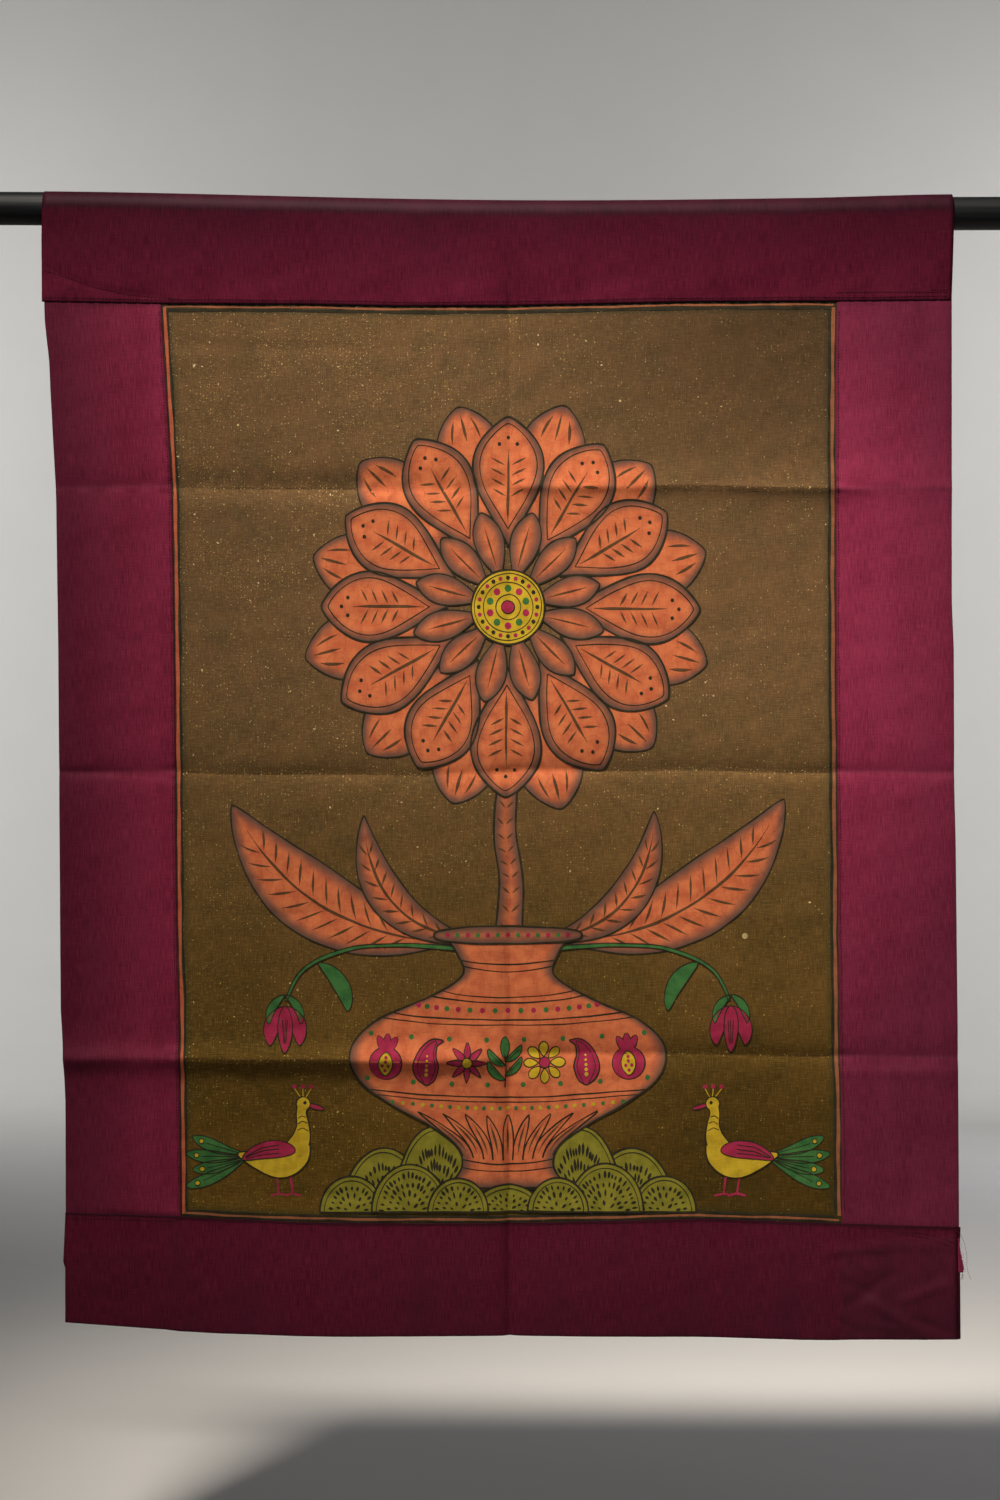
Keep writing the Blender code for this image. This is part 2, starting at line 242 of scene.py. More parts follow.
def cloth(side, drop):
    """The main folds, the small creases, faint ripples, and waves just above the upper left fold.
    The strips are two layers of stiffer cloth, so the folds are calmer on them."""
    side, drop = np.broadcast_arrays(np.asarray(side, float), np.asarray(drop, float))
    uneven = 1 + 0.16 * np.sin(side / 37) + 0.10 * np.sin(side / 13 + 1)
    calmer = mixed(1.0, CALMER, eased((np.abs(side - CENTRE) - CALMER_FROM) / CALMER_OVER))
    push = main_relief(side, drop + fold_wander(side)) * uneven * calmer
    for row in CREASES:
        push = push + crease_push(side, drop, row)
    for ripple, across, down, phase in RIPPLES:
        push = push + ripple * np.sin(2 * math.pi * (side / across + drop / down + phase))
    above = ACROSS_FOLDS[0][0][0] - drop
    waves = np.where(above > -4, np.exp(-np.abs(above - 6) / WAVE_FADE), 0) * (1 - right_share(side + 40))
    return push + WAVE_PUSH * waves * np.sin(2 * math.pi * side / WAVE_LENGTH + 1.5 * np.sin(side / 41))


print(len(CREASES), "small creases,", len(RIPPLES), "ripples")

# %% [markdown]
# All the surfaces here are grids: a function gives a point for every pair of parameters, and NumPy
# works out the whole array at once. Two helpers turn such arrays into a mesh. The places of rows and
# columns are packed closer beside a fold, where the surface bends, and wider where it is nearly flat.

# %% Grids and meshes
def packed(low, high, wide, lines, close, within):
    """Places from low to high, wide apart, and close together near each of the lines."""
    fine = np.linspace(low, high, 8001)
    nearest = np.min(np.abs(fine[:, None] - np.array(lines, float)), axis=1)
    density = 1 / mixed(close, wide, eased(nearest / within))
    counted = np.concatenate([[0], np.cumsum((density[1:] + density[:-1]) / 2 * np.diff(fine))])
    return np.interp(np.linspace(0, counted[-1], int(math.ceil(counted[-1])) + 1), counted, fine)


def grid_faces(rows, columns, first=0, turned=False):
    """The four corner numbers of each face of a grid whose points are stored row by row."""
    corner = first + np.arange(rows * columns).reshape(rows, columns)
    faces = [corner[:-1, :-1], corner[1:, :-1], corner[1:, 1:], corner[:-1, 1:]]
    return np.stack(faces[::-1] if turned else faces, axis=-1).reshape(-1, 4)


def mesh_object(name, points, faces, materials, uv=None, **attributes):
    """An object at the origin with its place in its mesh, smooth, with a UV map and point attributes."""
    mesh = bpy.data.meshes.new(name)
    mesh.vertices.add(len(points))
    mesh.vertices.foreach_set("co", (np.asarray(points) * MM).astype(np.float32).ravel())
    mesh.loops.add(faces.size)
    mesh.loops.foreach_set("vertex_index", faces.astype(np.int32).ravel())
    mesh.polygons.add(len(faces))
    mesh.polygons.foreach_set("loop_start", np.arange(0, faces.size, 4, dtype=np.int32))
    mesh.update(calc_edges=True)
    if uv is not None:
        layer = mesh.uv_layers.new(name="cloth")
        layer.data.foreach_set("uv", (np.asarray(uv) * MM)[faces.ravel()].astype(np.float32).ravel())
    for label, values in attributes.items():
        held = mesh.attributes.new(label, "FLOAT", "POINT")
        held.data.foreach_set("value", np.asarray(values, np.float32).ravel())
    for material in materials:
        mesh.materials.append(material)
    mesh.shade_smooth()
    made = bpy.data.objects.new(name, mesh)
    bpy.context.scene.collection.objects.link(made)
    print(name, len(points), "points,", len(faces), "faces")
    return made


def thickened(made, thickness, other_side=0):
    """Gives an open sheet its thickness, half on each side. other_side shifts the back's material."""
    wall = made.modifiers.new("cloth thickness", "SOLIDIFY")
    wall.thickness = thickness * MM
    wall.offset = 0.0
    wall.material_offset = other_side
    return made


# %% [markdown]
# Every finish starts from what the real one is. Colours are written as sRGB hex values, the way a
# painter would read them off a chart, and one function turns them to the linear values of the shader.
# One small function adds a node with its options and fills its sockets, so that a finish reads as a
# list of what lies on what. All cloth carries a UV map in metres along its own threads, and a Mapping
# node turns that into millimetres, so that every pattern's scale is a real size.

# %% Helpers for the finishes
def linear(colour):
    """sRGB to linear: divide by 12.92 when dark, else take ((c + 0.055) / 1.055) to the power 2.4."""
    parts = [int(colour[i:i + 2], 16) / 255 for i in (0, 2, 4)]
    return (*[c / 12.92 if c <= 0.04045 else ((c + 0.055) / 1.055) ** 2.4 for c in parts], 1.0)


def add(tree, kind, sockets=None, **options):
    """A new node. Each socket, by name or number, gets a value or a link from another node's output."""
    node = tree.nodes.new(kind)
    for option, value in options.items():
        setattr(node, option, value)
    for socket, value in (sockets or {}).items():
        if isinstance(value, bpy.types.NodeSocket):
            tree.links.new(value, node.inputs[socket])
        else:
            node.inputs[socket].default_value = value
    return node


def finish(name):
    """A new material, its tree and its surface shader."""
    material = bpy.data.materials.new(name)
    material.use_nodes = True
    return material, material.node_tree, material.node_tree.nodes["Principled BSDF"]


def in_mm(tree, across=1.0, down=1.0):
    """The cloth's own map, with one unit for each across and down millimetres."""
    place = add(tree, "ShaderNodeTexCoord").outputs["UV"]
    scale = (1 / (MM * across), 1 / (MM * down), 1.0)
    return add(tree, "ShaderNodeMapping", {"Vector": place, "Scale": scale}).outputs[0]


def threads(tree, thread, length):
    """Uneven yarn both ways: noise drawn out along the warp and along the weft, averaged."""
    along_warp, along_weft = in_mm(tree, thread, length), in_mm(tree, length, thread)
    warp = add(tree, "ShaderNodeTexNoise", {"Vector": along_warp, "Scale": 1.0, "Detail": 3.0})
    weft = add(tree, "ShaderNodeTexNoise", {"Vector": along_weft, "Scale": 1.0, "Detail": 3.0})
    return add(tree, "ShaderNodeMix", {0: 0.5, 2: warp.outputs[0], 3: weft.outputs[0]}).outputs[0]


def cloth_surface(tree, shader, colour, yarn, strength, high, rough, specular):
    """A colour, a relief that follows the yarn up to high in metres, a roughness and a specular level."""
    bump = add(tree, "ShaderNodeBump", {"Strength": strength, "Distance": high, "Height": yarn})
    tree.links.new(colour, shader.inputs["Base Color"])
    tree.links.new(bump.outputs[0], shader.inputs["Normal"])
    shader.inputs["Roughness"].default_value = rough
    shader.inputs["Specular IOR Level"].default_value = specular


def spread(tree, value, low, high, to_low=0.0, to_high=1.0):
    """The value's stretch from low to high, moved to the stretch from to_low to to_high."""
    sockets = {"Value": value, 1: low, 2: high, 3: to_low, 4: to_high}
    return add(tree, "ShaderNodeMapRange", sockets, interpolation_type="SMOOTHSTEP").outputs[0]


# %% [markdown]
# The ground is plain-woven cotton brushed with a thin olive-brown earth colour. It soaks in, so the
# weave still shows, and the coat is blotchy. Tiny pale flecks are undyed lint and gold dust left in
# the paint. The yarn of such cotton is about 0.4 mm thick, which is finer than a pixel here, so the
# uneven yarn is drawn 1.1 mm wide to show at all. Old folds are rubbed, so a fold attribute worked
# out with the mesh lifts more flecks there and darkens the very line, with dust and painted shade in
# the crease. A tone attribute paints light and shade towards the right: darker towards the upper
# right and lower right, and lighter at middle height.

# %% Painted cotton ground
THREAD, THREAD_RUN = 1.1, 13.0
BLOTCH, PATCH, CLUSTER = 24.0, 150.0, 55.0
FLECK_CELL, DUST_CELL, GRAIN_CELL = 8.0, 3.4, 2.0
FIELD_HALF, FIELD_TOP, FIELD_BOTTOM = 0.33, -0.09, -1.01


def flecks(tree, cell, smallest, largest, share):
    """Specks, one in some cells of a random mosaic, with bent edges because the map is bent first."""
    place = in_mm(tree, cell, cell)
    bend = add(tree, "ShaderNodeTexNoise", {"Vector": place, "Scale": 2.3, "Detail": 2.0}).outputs["Color"]
    bent = add(tree, "ShaderNodeVectorMath", {0: bend, 1: (0.55, 0.55, 0.0), 2: place},
               operation="MULTIPLY_ADD")
    mosaic = add(tree, "ShaderNodeTexVoronoi", {"Vector": bent.outputs[0], "Scale": 1.0},
                 voronoi_dimensions="2D")
    chance = add(tree, "ShaderNodeSeparateColor", {0: mosaic.outputs["Color"]})
    sockets = {"Value": chance.outputs[1], 3: smallest / cell, 4: largest / cell}
    radius = add(tree, "ShaderNodeMapRange", sockets).outputs[0]
    inside = add(tree, "ShaderNodeMath", {0: mosaic.outputs["Distance"], 1: radius}, operation="LESS_THAN")
    chosen = add(tree, "ShaderNodeMath", {0: chance.outputs[0], 1: share}, operation="LESS_THAN")
    speck = add(tree, "ShaderNodeMath", {0: inside.outputs[0], 1: chosen.outputs[0]}, operation="MULTIPLY")
    return speck.outputs[0]


def cotton_ground():
    """Brown earth paint soaked into plain-woven cotton: matt, blotchy, flecked, with dust and painted shade
    in its folds, and painted light and shade to the right.
    """
    material, tree, shader = finish("painted plain-woven cotton")
    yarn = threads(tree, THREAD, THREAD_RUN)
    blotch = add(tree, "ShaderNodeTexNoise",
                 {"Vector": in_mm(tree, BLOTCH, BLOTCH), "Scale": 1.0, "Detail": 6.0})
    patch = add(tree, "ShaderNodeTexNoise",
                {"Vector": in_mm(tree, PATCH, PATCH), "Scale": 1.0, "Detail": 3.0})
    cluster = add(tree, "ShaderNodeTexNoise",
                  {"Vector": in_mm(tree, CLUSTER, CLUSTER), "Scale": 1.0, "Detail": 2.0})
    place = add(tree, "ShaderNodeSeparateXYZ", {0: add(tree, "ShaderNodeTexCoord").outputs["UV"]})
    low_down = spread(tree, place.outputs[1], -0.38, FIELD_BOTTOM, 0.0, 1.0)
    brown = add(tree, "ShaderNodeMix", {0: low_down, 6: linear("62482e"), 7: linear("4f3a17")},
                data_type="RGBA")
    olive = add(tree, "ShaderNodeMix", {0: low_down, 6: linear("4e4027"), 7: linear("403312")},
                data_type="RGBA")
    cloudy = spread(tree, blotch.outputs[0], 0.34, 0.66, 0.0, 0.55)
    wash = add(tree, "ShaderNodeMix", {0: cloudy, 6: brown.outputs[2], 7: olive.outputs[2]}, data_type="RGBA")
    tinted = add(tree, "ShaderNodeMix", {0: spread(tree, patch.outputs[0], 0.40, 0.68, 0.0, 0.35),
                                         6: wash.outputs[2], 7: linear("6e4f30")}, data_type="RGBA")
    streaked = add(tree, "ShaderNodeMix", {0: spread(tree, yarn, 0.42, 0.70, 0.0, 0.40),
                                           6: tinted.outputs[2], 7: linear("8a6a42")}, data_type="RGBA")
    sunk = add(tree, "ShaderNodeMix", {0: spread(tree, yarn, 0.30, 0.46, 0.45, 0.0),
                                       6: streaked.outputs[2], 7: linear("362812")}, data_type="RGBA")
    rim = add(tree, "ShaderNodeAttribute", attribute_name="rim").outputs["Fac"]
    wobble = add(tree, "ShaderNodeMath", {0: blotch.outputs[0], 1: 5.0, 2: rim}, operation="MULTIPLY_ADD")
    shaded = add(tree, "ShaderNodeMix", {0: spread(tree, wobble.outputs[0], 8.0, 17.0, 0.75, 0.0),
                                         6: sunk.outputs[2], 7: linear("3d3a26")}, data_type="RGBA")
    # The fold line darkens: part dust, part painted shade in the crease.
    fold = add(tree, "ShaderNodeAttribute", attribute_name="fold").outputs["Fac"]
    dust_and_crease_shade = add(tree, "ShaderNodeMix", {0: spread(tree, fold, 0.55, 1.0, 0.0, 0.6),
                                       6: shaded.outputs[2], 7: linear("2a1c0e")}, data_type="RGBA")
    worn = spread(tree, fold, 0.12, 0.5, 0.0, 0.25)
    upper = spread(tree, place.outputs[1], FIELD_BOTTOM, FIELD_TOP, 0.25, 1.0)
    leftward = spread(tree, place.outputs[0], FIELD_HALF, -FIELD_HALF, 0.35, 1.0)
    region = add(tree, "ShaderNodeMath", {0: upper, 1: leftward}, operation="MULTIPLY").outputs[0]
    crowded = spread(tree, cluster.outputs[0], 0.36, 0.68, 0.22, 0.80)
    clustered = add(tree, "ShaderNodeMath", {0: crowded, 1: region}, operation="MULTIPLY").outputs[0]
    share = add(tree, "ShaderNodeMath", {0: clustered, 1: worn}, operation="ADD").outputs[0]
    few = add(tree, "ShaderNodeMath", {0: share, 1: 0.08}, operation="MULTIPLY").outputs[0]
    some = add(tree, "ShaderNodeMath", {0: share, 1: 0.46}, operation="MULTIPLY").outputs[0]
    tiny = add(tree, "ShaderNodeMix", {0: flecks(tree, GRAIN_CELL, 0.28, 0.52, share),
                                       6: dust_and_crease_shade.outputs[2], 7: linear("86683f")}, data_type="RGBA")
    small = add(tree, "ShaderNodeMix", {0: flecks(tree, DUST_CELL, 0.32, 0.62, some),
                                        6: tiny.outputs[2], 7: linear("a98d5c")}, data_type="RGBA")
    large = add(tree, "ShaderNodeMix", {0: flecks(tree, FLECK_CELL, 0.45, 0.95, few),
                                        6: small.outputs[2], 7: linear("cdb384")}, data_type="RGBA")
    yellower = add(tree, "ShaderNodeMix", {0: low_down, 6: large.outputs[2], 7: (0.97, 0.95, 0.42, 1.0)},
                   data_type="RGBA", blend_type="MULTIPLY")
    # The tone attribute is painted light and shade: darker towards the upper and lower right, lighter at
    # middle height on the right.
    tone = add(tree, "ShaderNodeAttribute", attribute_name="tone").outputs["Fac"]
    toned = add(tree, "ShaderNodeVectorMath", {0: yellower.outputs[2], "Scale": tone}, operation="SCALE")
    cloth_surface(tree, shader, toned.outputs[0], yarn, 0.5, 0.0004, 0.9, 0.12)
    return material


def cotton_back():
    """The unpainted back, where the brown has soaked through in a paler, uneven stain."""
    material, tree, shader = finish("back of the painted cotton")
    yarn = threads(tree, THREAD, THREAD_RUN)
    blotch = add(tree, "ShaderNodeTexNoise",
                 {"Vector": in_mm(tree, PATCH, PATCH), "Scale": 1.0, "Detail": 6.0})
    stain = add(tree, "ShaderNodeMix", {0: spread(tree, blotch.outputs[0], 0.3, 0.7),
                                        6: linear("6e5536"), 7: linear("8a6e48")}, data_type="RGBA")
    streaked = add(tree, "ShaderNodeMix", {0: spread(tree, yarn, 0.38, 0.66, 0.0, 0.4),
                                           6: stain.outputs[2], 7: linear("a98f64")}, data_type="RGBA")
    cloth_surface(tree, shader, streaked.outputs[2], yarn, 0.5, 0.0004, 0.9, 0.2)
    return material


ground = cotton_ground()
ground_back = cotton_back()
print("ground finishes", ground.name, "and", ground_back.name)

# %% [markdown]
# The panel lies between its four seams and runs a few millimetres under the strips, as sewn cloth
# does. Its columns are squeezed evenly on each side of the centre fold, so that the fold itself stays
# straight, and its first and last rows bend with the seams.

# %% Painted panel
PANEL_THICK = 0.4
UNDERLAP = 3.5
ROW_WIDE, ROW_CLOSE, COLUMN_WIDE, COLUMN_CLOSE = 5.0, 1.7, 4.6, 1.9
FOLD_DROPS = [276.5, 561.0, 846.0]
SEAM_BEND = 70.0
FOLD_WITHIN, CROSS_WITHIN = 30, 26
PANEL_HALF = 330


def both_ways(left, right):
    """Places packed close at the centre fold, from left of it to right of it, measured from the fold."""
    ways = [packed(0, far, COLUMN_WIDE, [0], COLUMN_CLOSE, FOLD_WITHIN) for far in (left, right)]
    return np.concatenate([-ways[0][:0:-1], ways[1]])


def panel_place(share, row):
    """Side and drop: the share of the way from the centre fold to a seam, at a row bent to the seams."""
    drop, side = row, CENTRE + share * PANEL_HALF
    for _ in range(3):
        reach = np.where(share < 0, CENTRE - along(LEFT_SEAM, drop), along(RIGHT_SEAM, drop) - CENTRE)
        side = CENTRE + share * (reach + UNDERLAP)
        near_top = 1 - eased((row - SEAM_TOP) / SEAM_BEND)
        near_bottom = 1 - eased((SEAM_BOTTOM - row) / SEAM_BEND)
        drop = row + near_top * (along(TOP_SEAM, side) - SEAM_TOP - UNDERLAP)
        drop = drop + near_bottom * (along(BOTTOM_SEAM, side) - SEAM_BOTTOM + UNDERLAP)
    return side, drop


def fold_rub(side, drop):
    """1 on the line of a main fold, falling to nothing within about 10 mm, for dust with painted crease
    shade, and for wear.
    """
    right = right_share(side)
    rub = 0.6 * np.exp(-np.abs(side - CENTRE) / 4.0)
    for on_left, on_right in ACROSS_FOLDS:
        off = drop + fold_wander(side) - mixed(on_left[0], on_right[0], right)
        rub = np.maximum(rub, np.exp(-np.abs(off) / 3.2))
    return rub


def from_rules(side, drop):
    """Distance in mm inside the nearest seam, for the greenish shade beside the rules."""
    across = np.minimum(side - along(LEFT_SEAM, drop), along(RIGHT_SEAM, drop) - side)
    down = np.minimum(drop - along(TOP_SEAM, side), along(BOTTOM_SEAM, side) - drop)
    return np.minimum(across, down)


CORNER_UP, UP_UNTIL, UP_OVER = 0.42, 310, 200
CORNER_LOW, DOWN_FROM, DOWN_OVER = 0.33, 760, 220
LIT_MORE, LIT_DROP, LIT_REACH = 0.17, 540, 190
TONED_FROM, TONED_OVER = -60, 330


def painted_light_and_shade(side, drop):
    """Painted light and shade on the ground: 1, darker towards two corners on the right, lighter at the
    middle of the right.
    """
    right = eased((side - TONED_FROM) / TONED_OVER)
    corners = CORNER_UP * eased((UP_UNTIL - drop) / UP_OVER)
    corners = corners + CORNER_LOW * eased((drop - DOWN_FROM) / DOWN_OVER)
    return 1 + right * (LIT_MORE * np.exp(-(((drop - LIT_DROP) / LIT_REACH) ** 2)) - corners)


rows = packed(SEAM_TOP, SEAM_BOTTOM, ROW_WIDE, FOLD_DROPS, ROW_CLOSE, CROSS_WITHIN)
shares = both_ways(PANEL_HALF, PANEL_HALF) / PANEL_HALF
side, drop = panel_place(shares[None, :], rows[:, None])
points = np.stack([side, -cloth(side, drop), -drop], axis=-1).reshape(-1, 3)
panel = mesh_object(
    "painted_cotton_panel", points, grid_faces(*side.shape), [ground, ground_back],
    uv=np.stack([side, -drop], axis=-1).reshape(-1, 2), fold=fold_rub(side, drop), rim=from_rules(side, drop),
    tone=painted_light_and_shade(side, drop),
)
thickened(panel, PANEL_THICK, other_side=1)

# %% [markdown]
# The border is cotton sateen, a weave whose long floats lie side by side. The piece-dyed crimson is
# even, but the floats catch the light in very fine streaks down the cloth, painted into the colour as
# painted sheen, the yarn has small dark slubs, and broad bands of shade run down each length where it
# took the dye differently. A float is really 0.3 mm wide, and is drawn 0.9 mm wide to show at this
# distance. Lengths cut the other way up catch the light differently, and that is painted: the left
# strip has its own tone, the right strip is a lighter copy with painted sheen, and the two ends are a
# darker copy with painted shade. An attribute named out, worked out with each strip's mesh, paints
# shade on the outer parts, towards the ends of the right strip, down the bottom strip and to its
# right, over the top of the sleeve and in a thin line along every seam.

# %% Crimson sateen
FLOAT, FLOAT_RUN = 0.9, 15.0
SLUB, SLUB_RUN = 1.5, 4.5
SHADE_BAND, SHADE_RUN = 34.0, 420.0
CLOUD, CLOUD_RUN = 70.0, 110.0
PAINTED_SHADE_TINT = (0.16, 0.26, 0.27, 1.0)
SEAM_SHADE, SEAM_SHADE_FADE = 1.5, 1.3


def sateen(name, deep, lit, worn, painted_shade_depth):
    """Dyed sateen: fine streaks of painted sheen, small slubs, broad shade bands, rubbed places, and painted
    shade where the out attribute asks.
    """
    material, tree, shader = finish(name)
    floats = add(tree, "ShaderNodeTexNoise",
                 {"Vector": in_mm(tree, FLOAT, FLOAT_RUN), "Scale": 1.0, "Detail": 3.0}).outputs[0]
    picks = add(tree, "ShaderNodeTexNoise",
                {"Vector": in_mm(tree, FLOAT_RUN, FLOAT), "Scale": 1.0, "Detail": 2.0}).outputs[0]
    slubs = add(tree, "ShaderNodeTexNoise",
                {"Vector": in_mm(tree, SLUB, SLUB_RUN), "Scale": 1.0, "Detail": 3.0}).outputs[0]
    broad = add(tree, "ShaderNodeTexNoise",
                {"Vector": in_mm(tree, SHADE_BAND, SHADE_RUN), "Scale": 1.0, "Detail": 3.0}).outputs[0]
    cloud = add(tree, "ShaderNodeTexNoise",
                {"Vector": in_mm(tree, CLOUD, CLOUD_RUN), "Scale": 1.0, "Detail": 4.0}).outputs[0]
    yarn = add(tree, "ShaderNodeMix", {0: 0.30, 2: floats, 3: picks}).outputs[0]
    slow = add(tree, "ShaderNodeMix", {0: 0.5, 2: broad, 3: cloud}).outputs[0]
    both = add(tree, "ShaderNodeMix", {0: 0.45, 2: yarn, 3: slow}).outputs[0]
    dyed = add(tree, "ShaderNodeMix", {0: spread(tree, both, 0.36, 0.64), 6: linear(deep), 7: linear(lit)},
               data_type="RGBA")
    dark = add(tree, "ShaderNodeMix", {0: spread(tree, slubs, 0.60, 0.76, 0.0, 0.38), 6: dyed.outputs[2],
                                       7: linear("2b060f")}, data_type="RGBA")
    rub = add(tree, "ShaderNodeAttribute", attribute_name="rub").outputs["Fac"]
    rubbed = add(tree, "ShaderNodeMix", {0: spread(tree, rub, 0.0, 1.0, 0.0, 0.55), 6: dark.outputs[2],
                                         7: linear(worn)}, data_type="RGBA")
    # The out attribute is painted shade, multiplied into the colour.
    shade_amount = add(tree, "ShaderNodeAttribute", attribute_name="out").outputs["Fac"]
    out = add(tree, "ShaderNodeMath", {0: shade_amount, 1: 0.30, 2: spread(tree, slow, 0.0, 1.0, 0.34, 0.66)},
              operation="MULTIPLY_ADD").outputs[0]
    outer = add(tree, "ShaderNodeMix", {0: spread(tree, out, 0.48, 0.84, 0.0, painted_shade_depth), 6: rubbed.outputs[2],
                                        7: PAINTED_SHADE_TINT}, data_type="RGBA", blend_type="MULTIPLY")
    cloth_surface(tree, shader, outer.outputs[2], yarn, 0.3, 0.0003, 0.62, 0.08)
    return material


# Three copies of one sateen: the right one lighter with painted sheen, the ends darker with painted shade.
sateen_left = sateen("crimson sateen, left length", "62172d", "8a2a46", "743042", 0.62)
sateen_right_painted_sheen = sateen("crimson sateen, right length, painted sheen", "701e37", "9a3351", "80364a", 0.62)
sateen_ends_painted_shade = sateen("crimson sateen, top and bottom lengths, painted shade", "4a0c20", "721e38", "522230", 0.92)

# %% [markdown]
# A border strip is folded double: its front layer starts with an edge turned under beside the seam,
# runs out to the fold, and comes back behind. So the strip is a flat loop in section, and that
# section is carried down the seam. The seam edge stands a little proud and is drawn into small
# puckers by its stitches, which fade out within a centimetre.

# %% Section of a doubled strip
LAYER_THICK = 0.35
LAYER_OUT = 0.8
TURN_UNDER, TURN_GAP = 5.0, 0.45
PROUD_SIDES, PROUD_ENDS, PROUD_FADE = 1.0, 1.35, 16.0
PUCKER, PUCKER_LENGTH, PUCKER_FADE = 0.32, 12.5, 7.0
ROUND_STEPS = 5
SECTION_WIDTH = 115.0


def strip_section(width_steps, proud):
    """Share of the strip's width, extra distance and way out, for each point round the loop, in mm."""
    steps = np.concatenate([[0, 1.5, 3, 5, 8, 12, 17], np.linspace(24, SECTION_WIDTH, width_steps)])
    close_steps = steps / SECTION_WIDTH
    turn = np.linspace(math.pi, 0, ROUND_STEPS)
    inner = np.array([[0, TURN_UNDER, proud - TURN_GAP], [0, 2.5, proud - TURN_GAP]])
    bend_across = 0.5 - 0.5 * np.sin(turn)
    bend_out = proud - TURN_GAP / 2 + TURN_GAP / 2 * -np.cos(turn[::-1])
    bend = np.stack([np.zeros(ROUND_STEPS), bend_across * TURN_GAP, bend_out], axis=1)
    layer = mixed(proud, LAYER_OUT, eased(close_steps * SECTION_WIDTH / PROUD_FADE))
    front = np.stack([close_steps[1:], np.full(len(layer) - 1, TURN_GAP / 2), layer[1:]], axis=1)
    hem_turn = np.linspace(0, math.pi / 2, ROUND_STEPS)[1:]
    hem_across, hem_out = LAYER_OUT * np.sin(hem_turn), LAYER_OUT * np.cos(hem_turn)
    hem = np.stack([np.ones(ROUND_STEPS - 1), hem_across, hem_out], axis=1)
    outer_half = np.concatenate([inner, bend, front, hem])
    back_half = outer_half[-2::-1] * np.array([1, 1, -1])
    return np.concatenate([outer_half, back_half])


def pucker(place, distance):
    """Small waves along the stitches, of a slightly changing length, dying away from them."""
    wave = np.sin(2 * math.pi * place / PUCKER_LENGTH + 2.2 * np.sin(place / 43))
    return PUCKER * wave * np.exp(-distance / PUCKER_FADE)


side_section = strip_section(18, PROUD_SIDES)
end_section = strip_section(28, PROUD_ENDS)
print("a strip's section has", len(side_section), "points")

# %% [markdown]
# The side strips run from the top strip to the bottom strip and tuck in under both. Close to those
# seams their layers lie flatter, to leave room for the strip that laps over them.

# %% Side strips
TUCK, TUCK_FLATTER, TUCK_OVER = 4.0, 0.42, 8.0
HEM_ROUND = LAYER_OUT + LAYER_THICK / 2
LOW_FROM, LOW_OVER, HIGH_FROM, HIGH_OVER = 480, 520, 70, 240
OUTWARD_SHADE, HIGH_SHADE = 0.52, 0.60


def side_strip(name, seam, edge, outward, sateen_used):
    """The strip's section carried down its seam, from under the top strip to under the bottom one."""
    rows = packed(SEAM_TOP, SEAM_BOTTOM, ROW_WIDE, FOLD_DROPS, ROW_CLOSE, CROSS_WITHIN)[:, None]
    share, extra, out = side_section.T[:, None, :]
    drop = rows + 0 * share
    for _ in range(3):
        inner, outer = along(seam, drop), along(edge, drop)
        width = np.abs(outer - inner) - HEM_ROUND
        side = inner + outward * (share * (width - TURN_GAP / 2) + extra)
        near_top = 1 - eased((rows - SEAM_TOP) / SEAM_BEND)
        near_bottom = 1 - eased((SEAM_BOTTOM - rows) / SEAM_BEND)
        drop = rows + near_top * (along(TOP_SEAM, side) - SEAM_TOP - TUCK)
        drop = drop + near_bottom * (along(BOTTOM_SEAM, side) - SEAM_BOTTOM + TUCK)
    from_end = np.minimum(drop - along(TOP_SEAM, side), along(BOTTOM_SEAM, side) - drop)
    flatter = mixed(TUCK_FLATTER, 1.0, eased((from_end + TUCK) / TUCK_OVER))
    from_seam = np.abs(side - inner)
    waves = pucker(drop, from_seam) + pucker(side, np.abs(from_end)) * 0.6
    points = np.stack([side, -out * flatter - cloth(side, drop) - waves, -drop], axis=-1).reshape(-1, 3)
    hem = np.exp(-np.abs(width - from_seam) / 2.0) * 0.6
    rub = np.maximum(hem, 0.8 * fold_rub(side, drop) ** 2)
    width_out = outward * (share * SECTION_WIDTH + extra)
    along_loop = np.broadcast_to(width_out * np.sign(out + 0.001), side.shape)
    low_end, high_end = eased((drop - LOW_FROM) / LOW_OVER), 1 - eased((drop - HIGH_FROM) / HIGH_OVER)
    # Painted shade: darker towards the outer edge, on the right strip also towards both ends, and in thin
    # lines along the seams.
    shade_amount = share if outward < 0 else OUTWARD_SHADE * share + low_end + HIGH_SHADE * high_end
    shade_amount = shade_amount + SEAM_SHADE * np.exp(-np.minimum(from_seam, np.abs(from_end)) / SEAM_SHADE_FADE)
    made = mesh_object(
        name, points, grid_faces(*side.shape, turned=outward < 0), [sateen_used],
        uv=np.stack([along_loop, -drop], axis=-1).reshape(-1, 2), rub=rub,
        out=np.broadcast_to(shade_amount, side.shape),
    )
    return thickened(made, LAYER_THICK)


strip_left = side_strip("border_strip_left", LEFT_SEAM, LEFT_EDGE, -1, sateen_left)
strip_right = side_strip("border_strip_right", RIGHT_SEAM, RIGHT_EDGE, 1, sateen_right_painted_sheen)

# %% [markdown]
# The bottom strip is the same loop laid along the lower seam, with its fold at the very bottom. Its
# back layer is a little longer than the front one at the right, where the corner is also creased and
# its sheen is rubbed dull.

# %% Bottom strip
BACK_SHOWS = 3.5
BOTTOM_LEFT_REACH, BOTTOM_RIGHT_REACH = 445, 447
BOTTOM_SHADE, BOTTOM_SHADE_DOWN, BOTTOM_SHADE_RIGHT, SHADE_CHANGE = 0.32, 0.28, 0.10, 300
DULL_SIDE, DULL_DROP = 334.0, 1030.0


